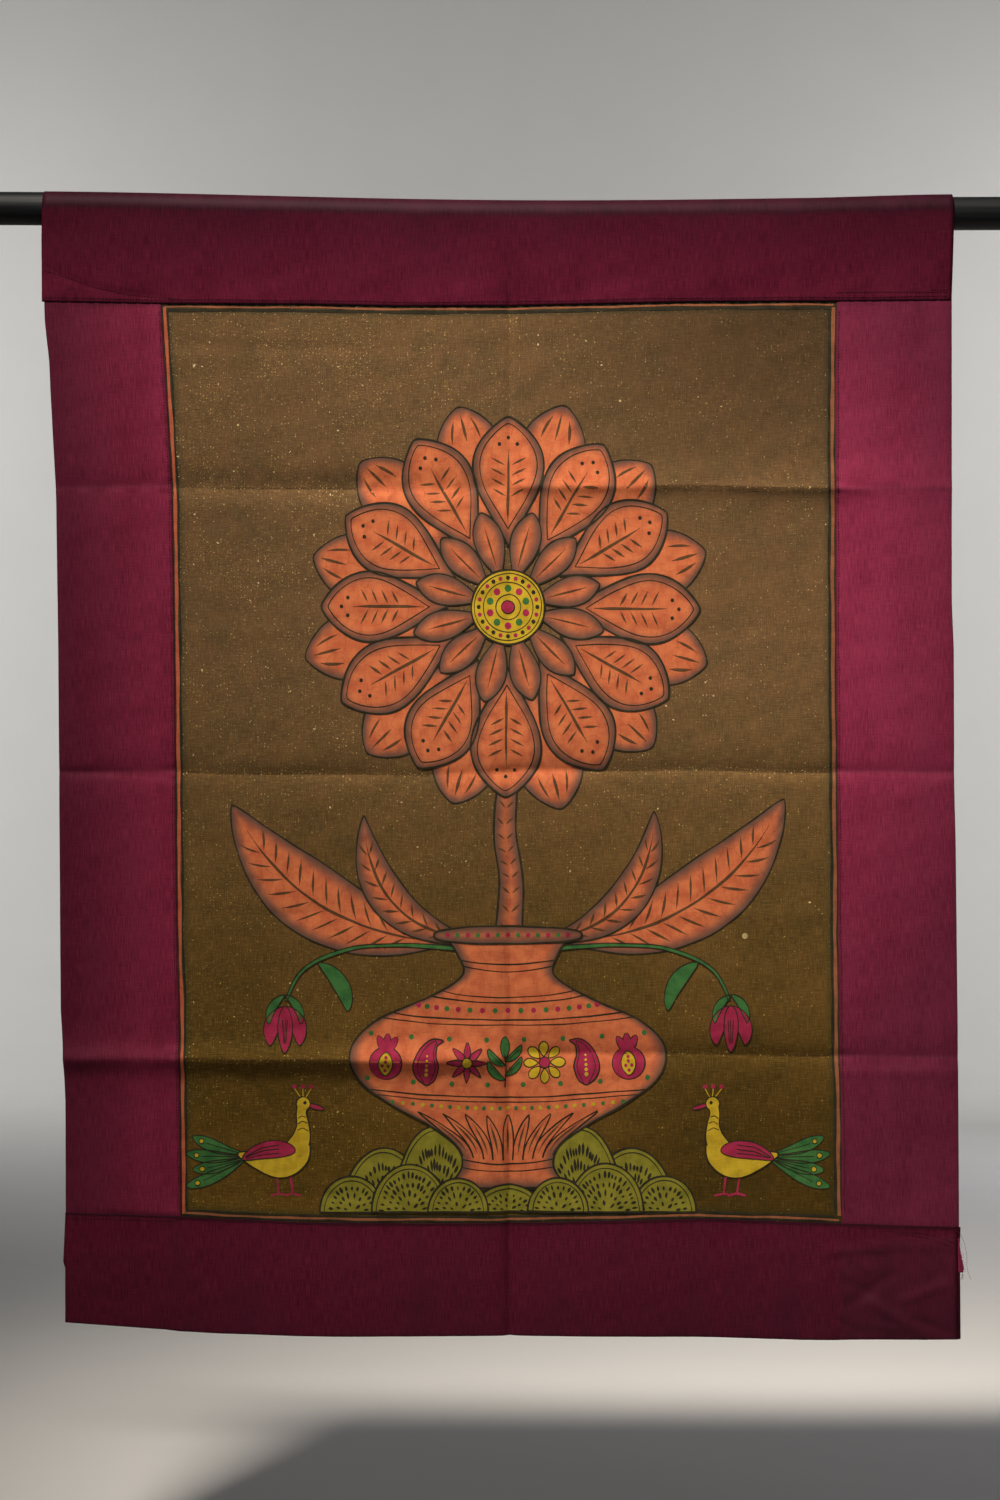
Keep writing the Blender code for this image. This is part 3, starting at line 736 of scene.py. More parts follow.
def bottom_strip():
    """The strip's section carried along the lower seam. Rows follow the loop, columns follow the seam."""
    share, extra, out = end_section.T[:, :, None]
    columns = both_ways(BOTTOM_LEFT_REACH, BOTTOM_RIGHT_REACH)[None, :] + CENTRE
    side = columns + 0 * share
    for _ in range(3):
        upper, lower = along(BOTTOM_SEAM, side), along(BOTTOM_EDGE, side)
        depth = lower - upper - HEM_ROUND
        drop = upper + share * (depth - TURN_GAP / 2) + extra
        left_end, right_end = along(BOTTOM_LEFT, drop), along(BOTTOM_RIGHT, drop)
        right_end = right_end + np.where(out < 0, BACK_SHOWS * eased(-out), 0)
        reach = np.where(columns < CENTRE, (left_end - CENTRE) / -BOTTOM_LEFT_REACH,
                         (right_end - CENTRE) / BOTTOM_RIGHT_REACH)
        side = CENTRE + (columns - CENTRE) * reach
    waves = pucker(side, drop - upper)
    points = np.stack([side, -out - cloth(side, drop) - waves, -drop], axis=-1).reshape(-1, 3)
    hem = np.exp(-np.abs(lower - drop) / 2.5) * 0.6
    dull = eased((side - DULL_SIDE) / 8) * eased((drop - DULL_DROP + (side - DULL_SIDE) * 0.09) / 8) * 0.55
    rub = np.maximum(np.maximum(hem, dull), 0.7 * fold_rub(side, drop) ** 2)
    # Painted shade: darker from the seam down towards the fold, towards the right, and in a thin line along
    # the seam.
    shade_amount = BOTTOM_SHADE + BOTTOM_SHADE_DOWN * share + BOTTOM_SHADE_RIGHT * eased(side / SHADE_CHANGE + 0.5)
    shade_amount = shade_amount + SEAM_SHADE * np.exp(-(drop - upper) / SEAM_SHADE_FADE)
    along_loop = np.broadcast_to((share * SECTION_WIDTH + extra) * np.sign(out + 0.001), side.shape)
    made = mesh_object(
        "border_strip_bottom", points, grid_faces(*side.shape), [sateen_ends_painted_shade],
        uv=np.stack([side, along_loop], axis=-1).reshape(-1, 2), rub=rub, out=shade_amount,
    )
    return thickened(made, LAYER_THICK)


strip_bottom = bottom_strip()

# %% [markdown]
# The top strip is the sleeve: it leaves its seam in front, rises to touch the bar, runs over it, and
# comes down behind to the same seam. Seen from its end that is a drop shape, made of two straight
# tangents and an arc, and it follows the bar, which sags a little between its supports.

# %% Sleeve over the bar
ROD_RADIUS, ROD_SAG, ROD_TILT, ROD_BENT_HALF, ROD_LENGTH = 16.5, 6.5, 2.5, 520.0, 1160.0
SLEEVE_SLACK, SLEEVE_LIFT, LIFT_FROM, LIFT_OVER = 0.4, 2.0, 300.0, 150.0
SLEEVE_RADIUS = ROD_RADIUS + SLEEVE_SLACK + LAYER_THICK / 2
SLEEVE_FULLNESS = 0.5
TIGHT_DROP, FREE_DROP = 20.0, 80.0
STRAIGHT_STEPS, ARC_STEPS = 22, 26
SLEEVE_LEFT_REACH, SLEEVE_RIGHT_REACH = 468, 442
SLEEVE_SHADE, SLEEVE_TALL, ROLL_SHADE, ROLL_RUN, ROLL_START = 0.68, 105, 1.2, 15, 0.35


def rod_axis(side):
    """Height of the bar's centre line: level ends, a cosine sag between, and the left end higher."""
    turn = math.pi / 2 * np.clip(side / ROD_BENT_HALF, -1, 1)
    return -ROD_SAG * np.cos(turn) ** 2 - ROD_TILT * np.sin(turn)


def sleeve_tangent(side):
    """The line from the seam that just touches the bar: its angle, and where it starts and touches."""
    seam_up = -along(TOP_SEAM, side)
    centre_up = rod_axis(side) + SLEEVE_LIFT * eased((side - LIFT_FROM) / LIFT_OVER)
    leaves = np.arccos(SLEEVE_RADIUS / np.hypot(centre_up - seam_up, PROUD_ENDS))
    touch_out, touch_up = SLEEVE_RADIUS * np.sin(leaves), centre_up - SLEEVE_RADIUS * np.cos(leaves)
    return leaves, seam_up, touch_out, touch_up, centre_up


def fullness(side, drop, above_seam):
    """Slow waves along the sleeve where it hangs free, none at the seam or on the bar."""
    wave = SLEEVE_FULLNESS * np.sin(side / 31 + np.sin(side / 77))
    return wave * eased(drop / 30) * eased(above_seam / 30)


def sleeve():
    """Tangents from the seam to the bar and the arc over it, for every column along the seam."""
    columns = both_ways(SLEEVE_LEFT_REACH, SLEEVE_RIGHT_REACH)[None, :] + CENTRE
    side = columns + np.zeros((2 * STRAIGHT_STEPS + ARC_STEPS + 2 * (ROUND_STEPS + 2), 1))
    radius = SLEEVE_RADIUS
    for _ in range(3):
        leaves, seam_up, touch_out, touch_up, centre_up = sleeve_tangent(side[:1])
        share = np.linspace(0, 1, STRAIGHT_STEPS + 1)[1:, None] ** 1.35
        straight_out, straight_up = mixed(PROUD_ENDS, touch_out, share), mixed(seam_up, touch_up, share)
        angle = leaves + (2 * math.pi - 2 * leaves) * np.linspace(0, 1, ARC_STEPS + 2)[1:-1, None]
        arc_out, arc_up = radius * np.sin(angle), centre_up - radius * np.cos(angle)
        turn = np.linspace(0, math.pi, ROUND_STEPS)[:, None]
        bend_out = PROUD_ENDS - TURN_GAP / 2 - TURN_GAP / 2 * np.cos(turn) + 0 * seam_up
        bend_up = seam_up + TURN_GAP / 2 * (1 - np.sin(turn))
        under_out = np.full((2, 1), PROUD_ENDS - TURN_GAP) + 0 * seam_up
        under_up = seam_up + np.array([[TURN_UNDER], [2.5]])
        front_out = np.concatenate([under_out, bend_out, straight_out])
        front_up = np.concatenate([under_up, bend_up, straight_up])
        out = np.concatenate([front_out, arc_out, -front_out[::-1]])
        up = np.concatenate([front_up, arc_up, front_up[::-1]])
        left_end, right_end = along(SLEEVE_LEFT, -up), along(SLEEVE_RIGHT, -up)
        reach = np.where(columns < CENTRE, (left_end - CENTRE) / -SLEEVE_LEFT_REACH,
                         (right_end - CENTRE) / SLEEVE_RIGHT_REACH)
        side = CENTRE + (columns - CENTRE) * reach
    free = eased((-up - TIGHT_DROP) / (FREE_DROP - TIGHT_DROP))
    above_seam = np.abs(up + along(TOP_SEAM, side))
    waves = pucker(side, above_seam)
    held_out = cloth(side, -up) * free
    points = np.stack([side, -out - held_out - waves - fullness(side, -up, above_seam), up], axis=-1)
    out_step, up_step = np.diff(out, axis=0, prepend=out[:1]), np.diff(up, axis=0, prepend=up[:1])
    girth = np.cumsum(np.hypot(out_step, up_step), axis=0)
    rub = 0.6 * fold_rub(side, -up) ** 2
    # Painted shade: darker towards the top of the sleeve, darkest over the roll on the bar, and in a thin
    # line along the seam.
    top_shade = SLEEVE_SHADE * np.clip(above_seam / SLEEVE_TALL, 0, 1)
    top_shade = top_shade + ROLL_SHADE * eased((up - centre_up) / ROLL_RUN + ROLL_START)
    top_shade = top_shade + SEAM_SHADE * np.exp(-above_seam / SEAM_SHADE_FADE)
    made = mesh_object(
        "border_strip_top", points.reshape(-1, 3), grid_faces(*side.shape, turned=True), [sateen_ends_painted_shade],
        uv=np.stack([side, girth], axis=-1).reshape(-1, 2), rub=rub, out=top_shade,
    )
    return thickened(made, LAYER_THICK)


strip_top = sleeve()

# %% [markdown]
# The bar is a metal tube with a satin black lacquer. It is turned afresh here with more sides than
# the measured model has, so that its highlight runs smoothly, and its ends are closed by a small
# chamfer and a flat cap.

# %% Black bar
ROD_SIDES, ROD_CHAMFER = 64, 1.5
MERGE_WITHIN = 0.00001


def lacquer():
    """Satin black lacquer: nearly black, slightly uneven gloss, faint handling marks along the tube."""
    material, tree, shader = finish("satin black lacquer")
    place = add(tree, "ShaderNodeTexCoord").outputs["Object"]
    marks = add(tree, "ShaderNodeMapping", {"Vector": place, "Scale": (9.0, 260.0, 260.0)})
    noise = add(tree, "ShaderNodeTexNoise", {"Vector": marks.outputs[0], "Scale": 1.0, "Detail": 4.0})
    colour = add(tree, "ShaderNodeMix", {0: spread(tree, noise.outputs[0], 0.35, 0.7), 6: linear("0c0d0e"),
                                         7: linear("16181a")}, data_type="RGBA")
    gloss = spread(tree, noise.outputs[0], 0.3, 0.7, 0.46, 0.60)
    tree.links.new(colour.outputs[2], shader.inputs["Base Color"])
    tree.links.new(gloss, shader.inputs["Roughness"])
    shader.inputs["Specular IOR Level"].default_value = 0.22
    return material


def bar():
    """A circle carried along the sagging axis. The radius shrinks at both ends for chamfer and cap,
    and the innermost ring of each cap is so small that it is merged into one point."""
    half_length = ROD_LENGTH / 2
    inner = np.linspace(-ROD_BENT_HALF, ROD_BENT_HALF, 61)
    sides = np.concatenate([[-half_length] * 2, [-half_length + ROD_CHAMFER], inner,
                            [half_length - ROD_CHAMFER], [half_length] * 2])
    radii = np.full(len(sides), ROD_RADIUS)
    radii[[0, -1]] = 0.0
    radii[[1, -2]] = ROD_RADIUS - ROD_CHAMFER
    turn = np.linspace(0, 2 * math.pi, ROD_SIDES, endpoint=False)
    axis = rod_axis(sides)
    points = np.stack([np.repeat(sides[:, None], ROD_SIDES, 1), radii[:, None] * np.sin(turn),
                       axis[:, None] + radii[:, None] * np.cos(turn)], axis=-1)
    corner = np.arange(points.shape[0] * ROD_SIDES).reshape(-1, ROD_SIDES)
    following = np.roll(corner, -1, axis=1)
    faces = np.stack([corner[:-1], following[:-1], following[1:], corner[1:]], axis=-1).reshape(-1, 4)
    made = mesh_object("hanging_bar", points.reshape(-1, 3), faces, [lacquer()])
    shape = bmesh.new()
    shape.from_mesh(made.data)
    bmesh.ops.remove_doubles(shape, verts=shape.verts, dist=MERGE_WITHIN)
    shape.to_mesh(made.data)
    shape.free()
    made.data.set_sharp_from_angle(angle=math.radians(35))
    return made


hanging_bar = bar()

# %% [markdown]
# The painter worked in thin coats: the ground first, then flat areas of salmon, then small touches
# of yellow, green and crimson, and each outline in a dark green-black ink with a fine brush. The same
# order is kept here. Each area of paint is a grid of two parameters that lies on the cloth's surface,
# each line is a narrow ribbon carried along a path, and each coat lies a hair higher than the one
# below. Painted lines as a texture would blur on a sheet of this size, so they are mesh.

# %% Brushes
FIRST_COAT, COAT = 0.22, 0.11
FILL_STEP, STROKE_STEP = 2.3, 2.2
FINE_LINE, LINE, HEAVY_LINE = 1.0, 1.4, 1.9
FAR_FROM_EDGE = 99.0
END_ROWS = np.array([0.15, 0.45])
paint = {}


def lay(colour, side, drop, coat, edge=FAR_FROM_EDGE):
    """Keeps one grid of paint, at its coat's height, until the mesh of its colour is made."""
    paint.setdefault(colour, []).append(np.broadcast_arrays(side, drop, FIRST_COAT + COAT * coat, edge))


def leaf(base, tip, half_width, bow=0.0, fullest=0.5, blunt=0.6):
    """A leaf or petal: t runs from base to tip and u from edge to edge.
    The midrib is a parabola that bows aside by a share of its length. The half width is a power of
    the sine of t, and t is first bent by another power so that the leaf is fullest where asked."""
    base, tip = np.array(base, float), np.array(tip, float)
    run = tip - base
    aside = np.array([-run[1], run[0]])

    def place(t, u):
        t, u = np.broadcast_arrays(np.asarray(t, float), np.asarray(u, float))
        bent = np.clip(t, 0, 1) ** (math.log(0.5) / math.log(fullest))
        wide = half_width * np.sin(math.pi * bent) ** blunt
        middle = base + run * t[..., None] + aside * (4 * bow * t * (1 - t))[..., None]
        way = run + aside * (4 * bow * (1 - 2 * t))[..., None]
        across = np.stack([-way[..., 1], way[..., 0]], axis=-1) / np.linalg.norm(way, axis=-1)[..., None]
        points = middle + across * (wide * u)[..., None]
        return points[..., 0], points[..., 1]

    return place


def disc(centre, radius):
    """A round area: t turns from 0 to 1 down its height as a cosine, and u crosses the chord there."""
    def place(t, u):
        t, u = np.broadcast_arrays(np.asarray(t, float), np.asarray(u, float))
        return centre[0] + radius * np.sin(math.pi * t) * u, centre[1] - radius * np.cos(math.pi * t)

    return place


def band(path_side, path_drop, half_widths):
    """A strip along a smooth path through a few points: t along it and u across, its width changing."""
    def smooth(values, t):
        """A cubic between neighbouring values whose slope at each is that of its own neighbours."""
        values = np.asarray(values, float)
        low = np.clip((t * (len(values) - 1)).astype(int), 0, len(values) - 2)
        part = t * (len(values) - 1) - low
        before, after = values[np.maximum(low - 1, 0)], values[np.minimum(low + 2, len(values) - 1)]
        first, second = values[low], values[low + 1]
        pull_in, pull_out = (second - before) / 2, (after - first) / 2
        cubic = 2 * first - 2 * second + pull_in + pull_out
        square = 3 * second - 3 * first - 2 * pull_in - pull_out
        return ((cubic * part + square) * part + pull_in) * part + first

    def place(t, u):
        t, u = np.broadcast_arrays(np.asarray(t, float), np.asarray(u, float))
        t = np.clip(t, 0, 1)
        side, drop = smooth(path_side, t), smooth(path_drop, t)
        ahead, behind = np.minimum(t + 0.01, 1), np.maximum(t - 0.01, 0)
        run = smooth(path_side, ahead) - smooth(path_side, behind)
        fall = smooth(path_drop, ahead) - smooth(path_drop, behind)
        wide = np.maximum(smooth(half_widths, t), 0.15) / np.hypot(run, fall)
        return side - fall * wide * u, drop + run * wide * u

    return place


def fill(colour, place, coat=0, start=0.01, end=0.99):
    """Covers an area with paint, and notes how far each point is from the area's edge."""
    t = np.linspace(start, end, 61)
    (left_side, left_drop), (right_side, right_drop) = place(t, -1.0), place(t, 1.0)
    width = np.hypot(right_side - left_side, right_drop - left_drop)
    middle_side, middle_drop = place(t, 0.0)
    length = np.hypot(np.diff(middle_side), np.diff(middle_drop)).sum()
    rows = max(5, int(length / FILL_STEP) + 2)
    columns = max(3, int(width.max() / FILL_STEP) + 2)
    even, step = np.linspace(start, end, rows, retstep=True)
    even = np.sort(np.concatenate([even, start + step * END_ROWS, end - step * END_ROWS]))[:, None]
    u = np.linspace(-1, 1, columns)[None, :]
    side, drop = place(even, u)
    inside = (1 - np.abs(u)) * np.interp(even, t, width / 2)
    lay(colour, side, drop, coat, np.minimum(inside, np.minimum(end - even, even - start) * length + 1.0))


def stroke(colour, side, drop, width=LINE, coat=1, taper=0.0):
    """A brush line: the path is cut into even steps, wanders a little, and swells and thins."""
    side, drop = np.asarray(side, float), np.asarray(drop, float)
    place = np.concatenate([[0], np.cumsum(np.hypot(np.diff(side), np.diff(drop)))])
    even = np.linspace(0, place[-1], max(3, int(place[-1] / STROKE_STEP) + 2))
    side, drop = np.interp(even, place, side), np.interp(even, place, drop)
    run, fall = np.gradient(side), np.gradient(drop)
    length = np.maximum(np.hypot(run, fall), 1e-6)
    phase = side[0] * 0.37 + drop[0] * 0.61
    wander = 0.30 * np.sin(even / 19 + phase) + 0.14 * np.sin(even / 7 + 2 * phase)
    wide = width / 2 * (1 + 0.18 * np.sin(even / 13 + 3 * phase))
    if taper:
        share = even / even[-1]
        wide = wide * (0.15 + 0.85 * eased(share / taper) * eased((1 - share) / taper))
    across = wander[:, None] + wide[:, None] * np.array([[-1.0, 1.0]])
    lay(colour, side[:, None] - (fall / length)[:, None] * across,
        drop[:, None] + (run / length)[:, None] * across, coat)


def edge_line(colour, place, width=LINE, coat=1, inward=1.0, start=0.0, end=1.0):
    """A line round an area: up one edge, back down the other, and closed where it began."""
    t = mixed(start, end, 0.5 - 0.5 * np.cos(np.linspace(0, math.pi, 90)))
    (up_side, up_drop), (down_side, down_drop) = place(t, -inward), place(t[::-1], inward)
    closing = 1 if start == 0.0 else 0
    stroke(colour, np.concatenate([up_side, down_side, up_side[:closing]]),
           np.concatenate([up_drop, down_drop, up_drop[:closing]]), width, coat)


def inner_line(place, t, u, width=FINE_LINE, coat=1, taper=0.0, colour="ink"):
    """A line inside an area, given by its own t and u."""
    stroke(colour, *place(np.asarray(t, float), np.asarray(u, float)), width, coat, taper)


def painted(colour, place, coat=0, line=LINE):
    """An area of colour with its ink outline on the coat above."""
    fill(colour, place, coat)
    edge_line("ink", place, line, coat + 1)


def joined(colour, places, coat=0, line=LINE):
    """Areas that read as one: a wide ink line round each lies under all of them and shows outside."""
    for place in places:
        edge_line("ink", place, 2 * line, coat)
    for place in places:
        fill(colour, place, coat + 1)


def dot(colour, centre, radius, coat=1):
    fill(colour, disc(centre, radius), coat)


def frame_at(centre, angle, size):
    """Turns a motif's own x and y, in shares of its size and with y up, into side and drop."""
    cosine, sine = math.cos(angle), math.sin(angle)

    def at(x, y):
        return centre[0] + size * (x * cosine + y * sine), centre[1] + size * (x * sine - y * cosine)

    return at


print("brushes ready: areas in", FILL_STEP, "mm cells, lines in", STROKE_STEP, "mm steps")

# %% [markdown]
# The field is ruled all round: a dark line beside each seam, a line of orange, and a green-black line
# inside it. The sewer covered more of these rules on some sides than on others, so each side has its
# own distances and widths, and the orange is brightest on the left, where it is the least rubbed.

# %% Ruled border
RULES = (
    # distance inside the seam, then width, each for the left, right, top and bottom
    ((0.9, 0.9, 1.4, 1.6), (1.5, 1.4, 1.6, 1.6)),
    ((3.2, 3.2, 3.4, 3.6), (3.2, 3.4, 1.9, 2.1)),
    ((6.1, 6.5, 6.4, 6.4), (2.0, 2.6, 3.0, 2.0)),
)
for (left, right, top, bottom), (left_wide, right_wide, top_wide, bottom_wide) in RULES:
    middle = left_wide == RULES[1][1][0]
    height = np.linspace(93 + top, 1008 - bottom, 300)
    low_side, high_side = along(LEFT_SEAM, height) + left, along(RIGHT_SEAM, height) - right
    stroke("bright orange" if middle else "ink", low_side, height, left_wide, 0)
    stroke("dull orange" if middle else "ink", high_side, height, right_wide, 0)
    across = np.linspace(low_side[0], high_side[0], 240)
    stroke("dull orange" if middle else "ink", across, along(TOP_SEAM, across) + top, top_wide, 0)
    across = np.linspace(low_side[-1], high_side[-1], 240)
    stroke("dull orange" if middle else "ink", across, along(BOTTOM_SEAM, across) - bottom, bottom_wide, 0)
print(sum(len(grids) for grids in paint.values()), "ruled lines")

# %% [markdown]
# The small motifs are everyday ones that painters of such cloths use by the hundred: a daisy, a sprig,
# a pomegranate, a star, a paisley, a bud and a bird. Each is drawn in its own small frame from leaves,
# discs, bands and brush lines, so that it can be put anywhere, at any size and angle.

# %% Motifs
def rays(count):
    """The x and y of evenly spaced directions, the first one straight up."""
    return [(math.sin(2 * math.pi * n / count), math.cos(2 * math.pi * n / count)) for n in range(count)]


def daisy(at, size, coat):
    for x, y in rays(8):
        painted("yellow", leaf(at(0.14 * x, 0.14 * y), at(0.5 * x, 0.5 * y), 0.11 * size, fullest=0.6),
                coat, FINE_LINE)
    painted("crimson", disc(at(0, 0), 0.13 * size), coat + 2, FINE_LINE)


def sprig(at, size, coat):
    stroke("ink", *zip(at(0, -0.55), at(0.03, -0.1), at(0, 0.2)), FINE_LINE, coat + 1)
    for x, y, up in ((-1, -0.38, 0.05), (1, -0.28, 0.14), (-1, -0.06, 0.34), (1, 0.04, 0.42)):
        blade = leaf(at(0, y), at(0.38 * x, up), 0.085 * size, bow=0.12 * x)
        painted("green", blade, coat, FINE_LINE)
        inner_line(blade, [0.15, 0.8], [0, 0], 0.7, coat + 1)
    painted("green", leaf(at(0, 0.12), at(0, 0.6), 0.1 * size), coat, FINE_LINE)


def pomegranate(at, size, coat):
    points = ((-0.20, 0.46), (0.0, 0.52), (0.20, 0.46))
    crown = [leaf(at(0, 0.10), at(x, up), 0.075 * size) for x, up in points]
    joined("crimson", [disc(at(0, -0.10), 0.33 * size), *crown], coat, FINE_LINE)
    window = leaf(at(0, -0.36), at(0, 0.14), 0.15 * size)
    painted("yellow", window, coat + 2, FINE_LINE)
    for t, u in ((0.22, 0.0), (0.42, -0.42), (0.42, 0.42), (0.60, 0.0), (0.78, 0.0)):
        seed_side, seed_drop = window(t, u)
        dot("crimson", (float(seed_side), float(seed_drop)), 0.036 * size, coat + 3)


def star(at, size, coat):
    for x, y in rays(8):
        ray_leaf = leaf(at(0.05 * x, 0.05 * y), at(0.5 * x, 0.5 * y), 0.075 * size, fullest=0.36, blunt=0.9)
        painted("crimson", ray_leaf, coat, FINE_LINE)
    painted("yellow", disc(at(0, 0), 0.12 * size), coat + 2, FINE_LINE)


def paisley(at, size, coat, facing=1):
    bends = ((0.0, -0.50), (0.0, -0.38), (0.02, -0.12), (0.0, 0.16), (-0.12, 0.38), (-0.32, 0.44))
    side, drop = zip(*[at(x * facing, y) for x, y in bends])
    body = band(side, drop, [size * wide for wide in (0.01, 0.18, 0.27, 0.19, 0.10, 0.01)])
    painted("crimson", body, coat, LINE)
    edge_line("ink", band(side, drop, [size * wide for wide in (0.01, 0.10, 0.19, 0.12, 0.04, 0.01)]), 0.8,
              coat + 1, start=0.1, end=0.85)
    for number in range(5):
        dot("yellow", at(0.01 * facing, -0.28 + 0.10 * number), size * (0.042 - 0.005 * number), coat + 1)


def bud(at, size, coat):
    for x in (-1, 1):
        painted("green", leaf(at(0, -0.5), at(0.27 * x, -0.02), 0.07 * size, bow=0.15 * x), coat, FINE_LINE)
        painted("crimson", leaf(at(0, -0.30), at(0.24 * x, 0.34), 0.13 * size, bow=0.14 * x), coat, FINE_LINE)
    middle = leaf(at(0, -0.32), at(0, 0.46), 0.12 * size, fullest=0.45)
    painted("crimson", middle, coat + 2, FINE_LINE)
    for u in (-0.4, 0.0, 0.4):
        inner_line(middle, [0.3, 0.8], [u, u * 0.6], 0.8, coat + 3)


def bird(at, size, coat, facing=1):
    """A standing bird in profile: fanned tail, then one yellow outline of body, neck and head, then wing."""
    def path(*bends):
        return zip(*[at(x * facing, y) for x, y in bends])

    for number, rise in enumerate((-0.36, -0.20, -0.04, 0.12)):
        lower = number % 2
        feather = leaf(at(-0.30 * facing, -0.06), at((-0.92 + 0.06 * lower) * facing, rise), 0.060 * size,
                       bow=-0.05 * facing, fullest=0.68)
        painted("green", feather, coat, FINE_LINE)
        inner_line(feather, [0.2, 0.76], [0, 0], 0.8, coat + 1)
        painted("yellow", disc(tuple(float(v) for v in feather(0.84, 0.0)), 0.024 * size), coat + 2, 0.8)
    for x in (-0.06, 0.07):
        stroke("crimson", *path((x, -0.20), (x + 0.03, -0.43)), 2.0, coat)
        stroke("crimson", *path((x - 0.05, -0.45), (x + 0.03, -0.43), (x + 0.12, -0.45)), 2.0, coat)
    for x in (0.12, 0.20, 0.28):
        stroke("yellow", *path((0.21, 0.46), (x, 0.58)), 1.2, coat + 1)
        dot("crimson", at(x * facing, 0.60), 0.022 * size, coat + 1)
    painted("crimson", leaf(at(0.24 * facing, 0.43), at(0.41 * facing, 0.38), 0.024 * size), coat, FINE_LINE)
    body = band(*path((-0.42, -0.05), (-0.24, -0.10), (-0.02, -0.13), (0.14, -0.06), (0.22, 0.06)),
                [size * wide for wide in (0.012, 0.085, 0.145, 0.12, 0.05)])
    neck = band(*path((0.10, -0.04), (0.18, 0.09), (0.20, 0.22), (0.185, 0.34), (0.20, 0.42)),
                [size * wide for wide in (0.10, 0.085, 0.055, 0.042, 0.045)])
    joined("yellow", [body, neck, disc(at(0.205 * facing, 0.435), 0.062 * size)], coat + 2)
    wing = leaf(at(0.13 * facing, -0.02), at(-0.38 * facing, -0.10), 0.085 * size, bow=0.10 * facing,
                fullest=0.42)
    painted("crimson", wing, coat + 4, FINE_LINE)
    for u in (-0.5, 0.0, 0.5):
        inner_line(wing, [0.30, 0.62, 0.94], [u, u * 0.9, u * 0.6], 0.9, coat + 5)
    for t in (0.42, 0.54, 0.66):
        inner_line(neck, [t, t + 0.05, t], [-0.85, 0, 0.85], 0.9, coat + 4)
    dot("ink", at(0.22 * facing, 0.445), 0.017 * size, coat + 4)


print("seven motifs ready")

# %% [markdown]
# A great flower fills the upper field, with petals in three rings. A power of the sine gives each its
# swelling outline, no wider than its share of the circle, and every petal is turned and stretched a
# little differently, as a hand would draw it. The salmon is shaded in soft grey along every outline,
# which the paint's own material does from the distance to the edge that each area has noted. The
# veins are drawn with a fuller, thinner brush than the outlines, so they come out browner and softer.

# %% Great flower
HEART = (8.0, 396.0)
PETALS = 12
BACK_TIP, FRONT_TIP, INNER_TIP, HEART_RADIUS = 205.0, 188.0, 96.0, 37.0
VEIN = 2.6


def ray(angle, radius):
    """A point at that radius from the flower's heart, the angle measured from straight up."""
    return HEART[0] + radius * math.sin(angle), HEART[1] - radius * math.cos(angle)


def uneven(number, amount):
    """A small, repeatable irregularity for a petal: a sine of its number."""
    return amount * math.sin(number * 2.4 + 0.7)


def veins(place, starts, reach, lean, coat, width=VEIN):
    """A midrib, and pairs of tapering strokes that leave it forwards."""
    midrib = np.linspace(starts[0] * 0.5, starts[-1] + lean, 20)
    inner_line(place, midrib, np.zeros(20), width, coat, 0.25, "thin ink")
    for start in starts:
        for u in (-1, 1):
            out = np.linspace(0.10, reach, 7)
            inner_line(place, start + lean * out, u * out, width * 0.85, coat, 0.4, "thin ink")


for number in range(PETALS):
    angle = 2 * math.pi * (number + 0.5) / PETALS + uneven(number, 0.02)
    back = leaf(ray(angle, 70), ray(angle, BACK_TIP + uneven(number + 3, 4)), 33, fullest=0.66, blunt=0.72)
    painted("salmon", back, 0)
    for u in (-0.46, 0.0, 0.46):
        inner_line(back, np.linspace(0.74, 0.94 - 0.08 * abs(u), 8), np.full(8, u), VEIN, 1, 0.35, "thin ink")
for number in range(PETALS):
    angle = 2 * math.pi * number / PETALS + uneven(number + 5, 0.015)
    petal = leaf(ray(angle, 60), ray(angle, FRONT_TIP + uneven(number, 4)), 35.5, fullest=0.62, blunt=0.76)
    painted("salmon", petal, 2, HEAVY_LINE)
    edge_line("ink", leaf(ray(angle, 78), petal(0.95, 0.0), 28.5, fullest=0.60, blunt=0.76), FINE_LINE, 3)
    veins(petal, np.linspace(0.38, 0.62, 4), 0.50, 0.13, 3)
    for t, u in ((0.79, -0.30), (0.84, 0.0), (0.79, 0.30)):
        dot("ink", tuple(float(v) for v in petal(t, u)), 1.9, 3)
for number in range(PETALS):
    angle = 2 * math.pi * (number + 0.5) / PETALS + uneven(number + 9, 0.02)
    petal = leaf(ray(angle, 26), ray(angle, INNER_TIP + uneven(number, 2)), 15.0, fullest=0.60, blunt=0.72)
    painted("salmon", petal, 4)
    inner_line(petal, np.linspace(0.2, 0.80, 12), np.zeros(12), 2.0, 5, 0.4, "thin ink")
painted("yellow", disc(HEART, HEART_RADIUS), 6, HEAVY_LINE)
for radius, width in ((33.6, 0.9), (25, 0.9), (12.5, FINE_LINE)):
    edge_line("ink", disc(HEART, radius), width, 7)
DOT_RINGS = ((29.3, 24, 2.1, ("ink", "crimson")), (18.8, 10, 3.5, ("green", "crimson")))
for radius, count, size, colours in DOT_RINGS:
    for number in range(count):
        dot(colours[number % 2], ray(2 * math.pi * number / count, radius), size, 7)
painted("crimson", disc(HEART, 6.5), 7, FINE_LINE)
print("great flower with", 3 * PETALS, "petals")

# %% [markdown]
# The flower grows from a round water pot, as in countless folk paintings. The pot is one outline of
# half widths down its height. Bands across it follow its roundness, because they sag a little in the
# middle, and it carries the small coloured motifs. Four leaves and two buds rise from its mouth.

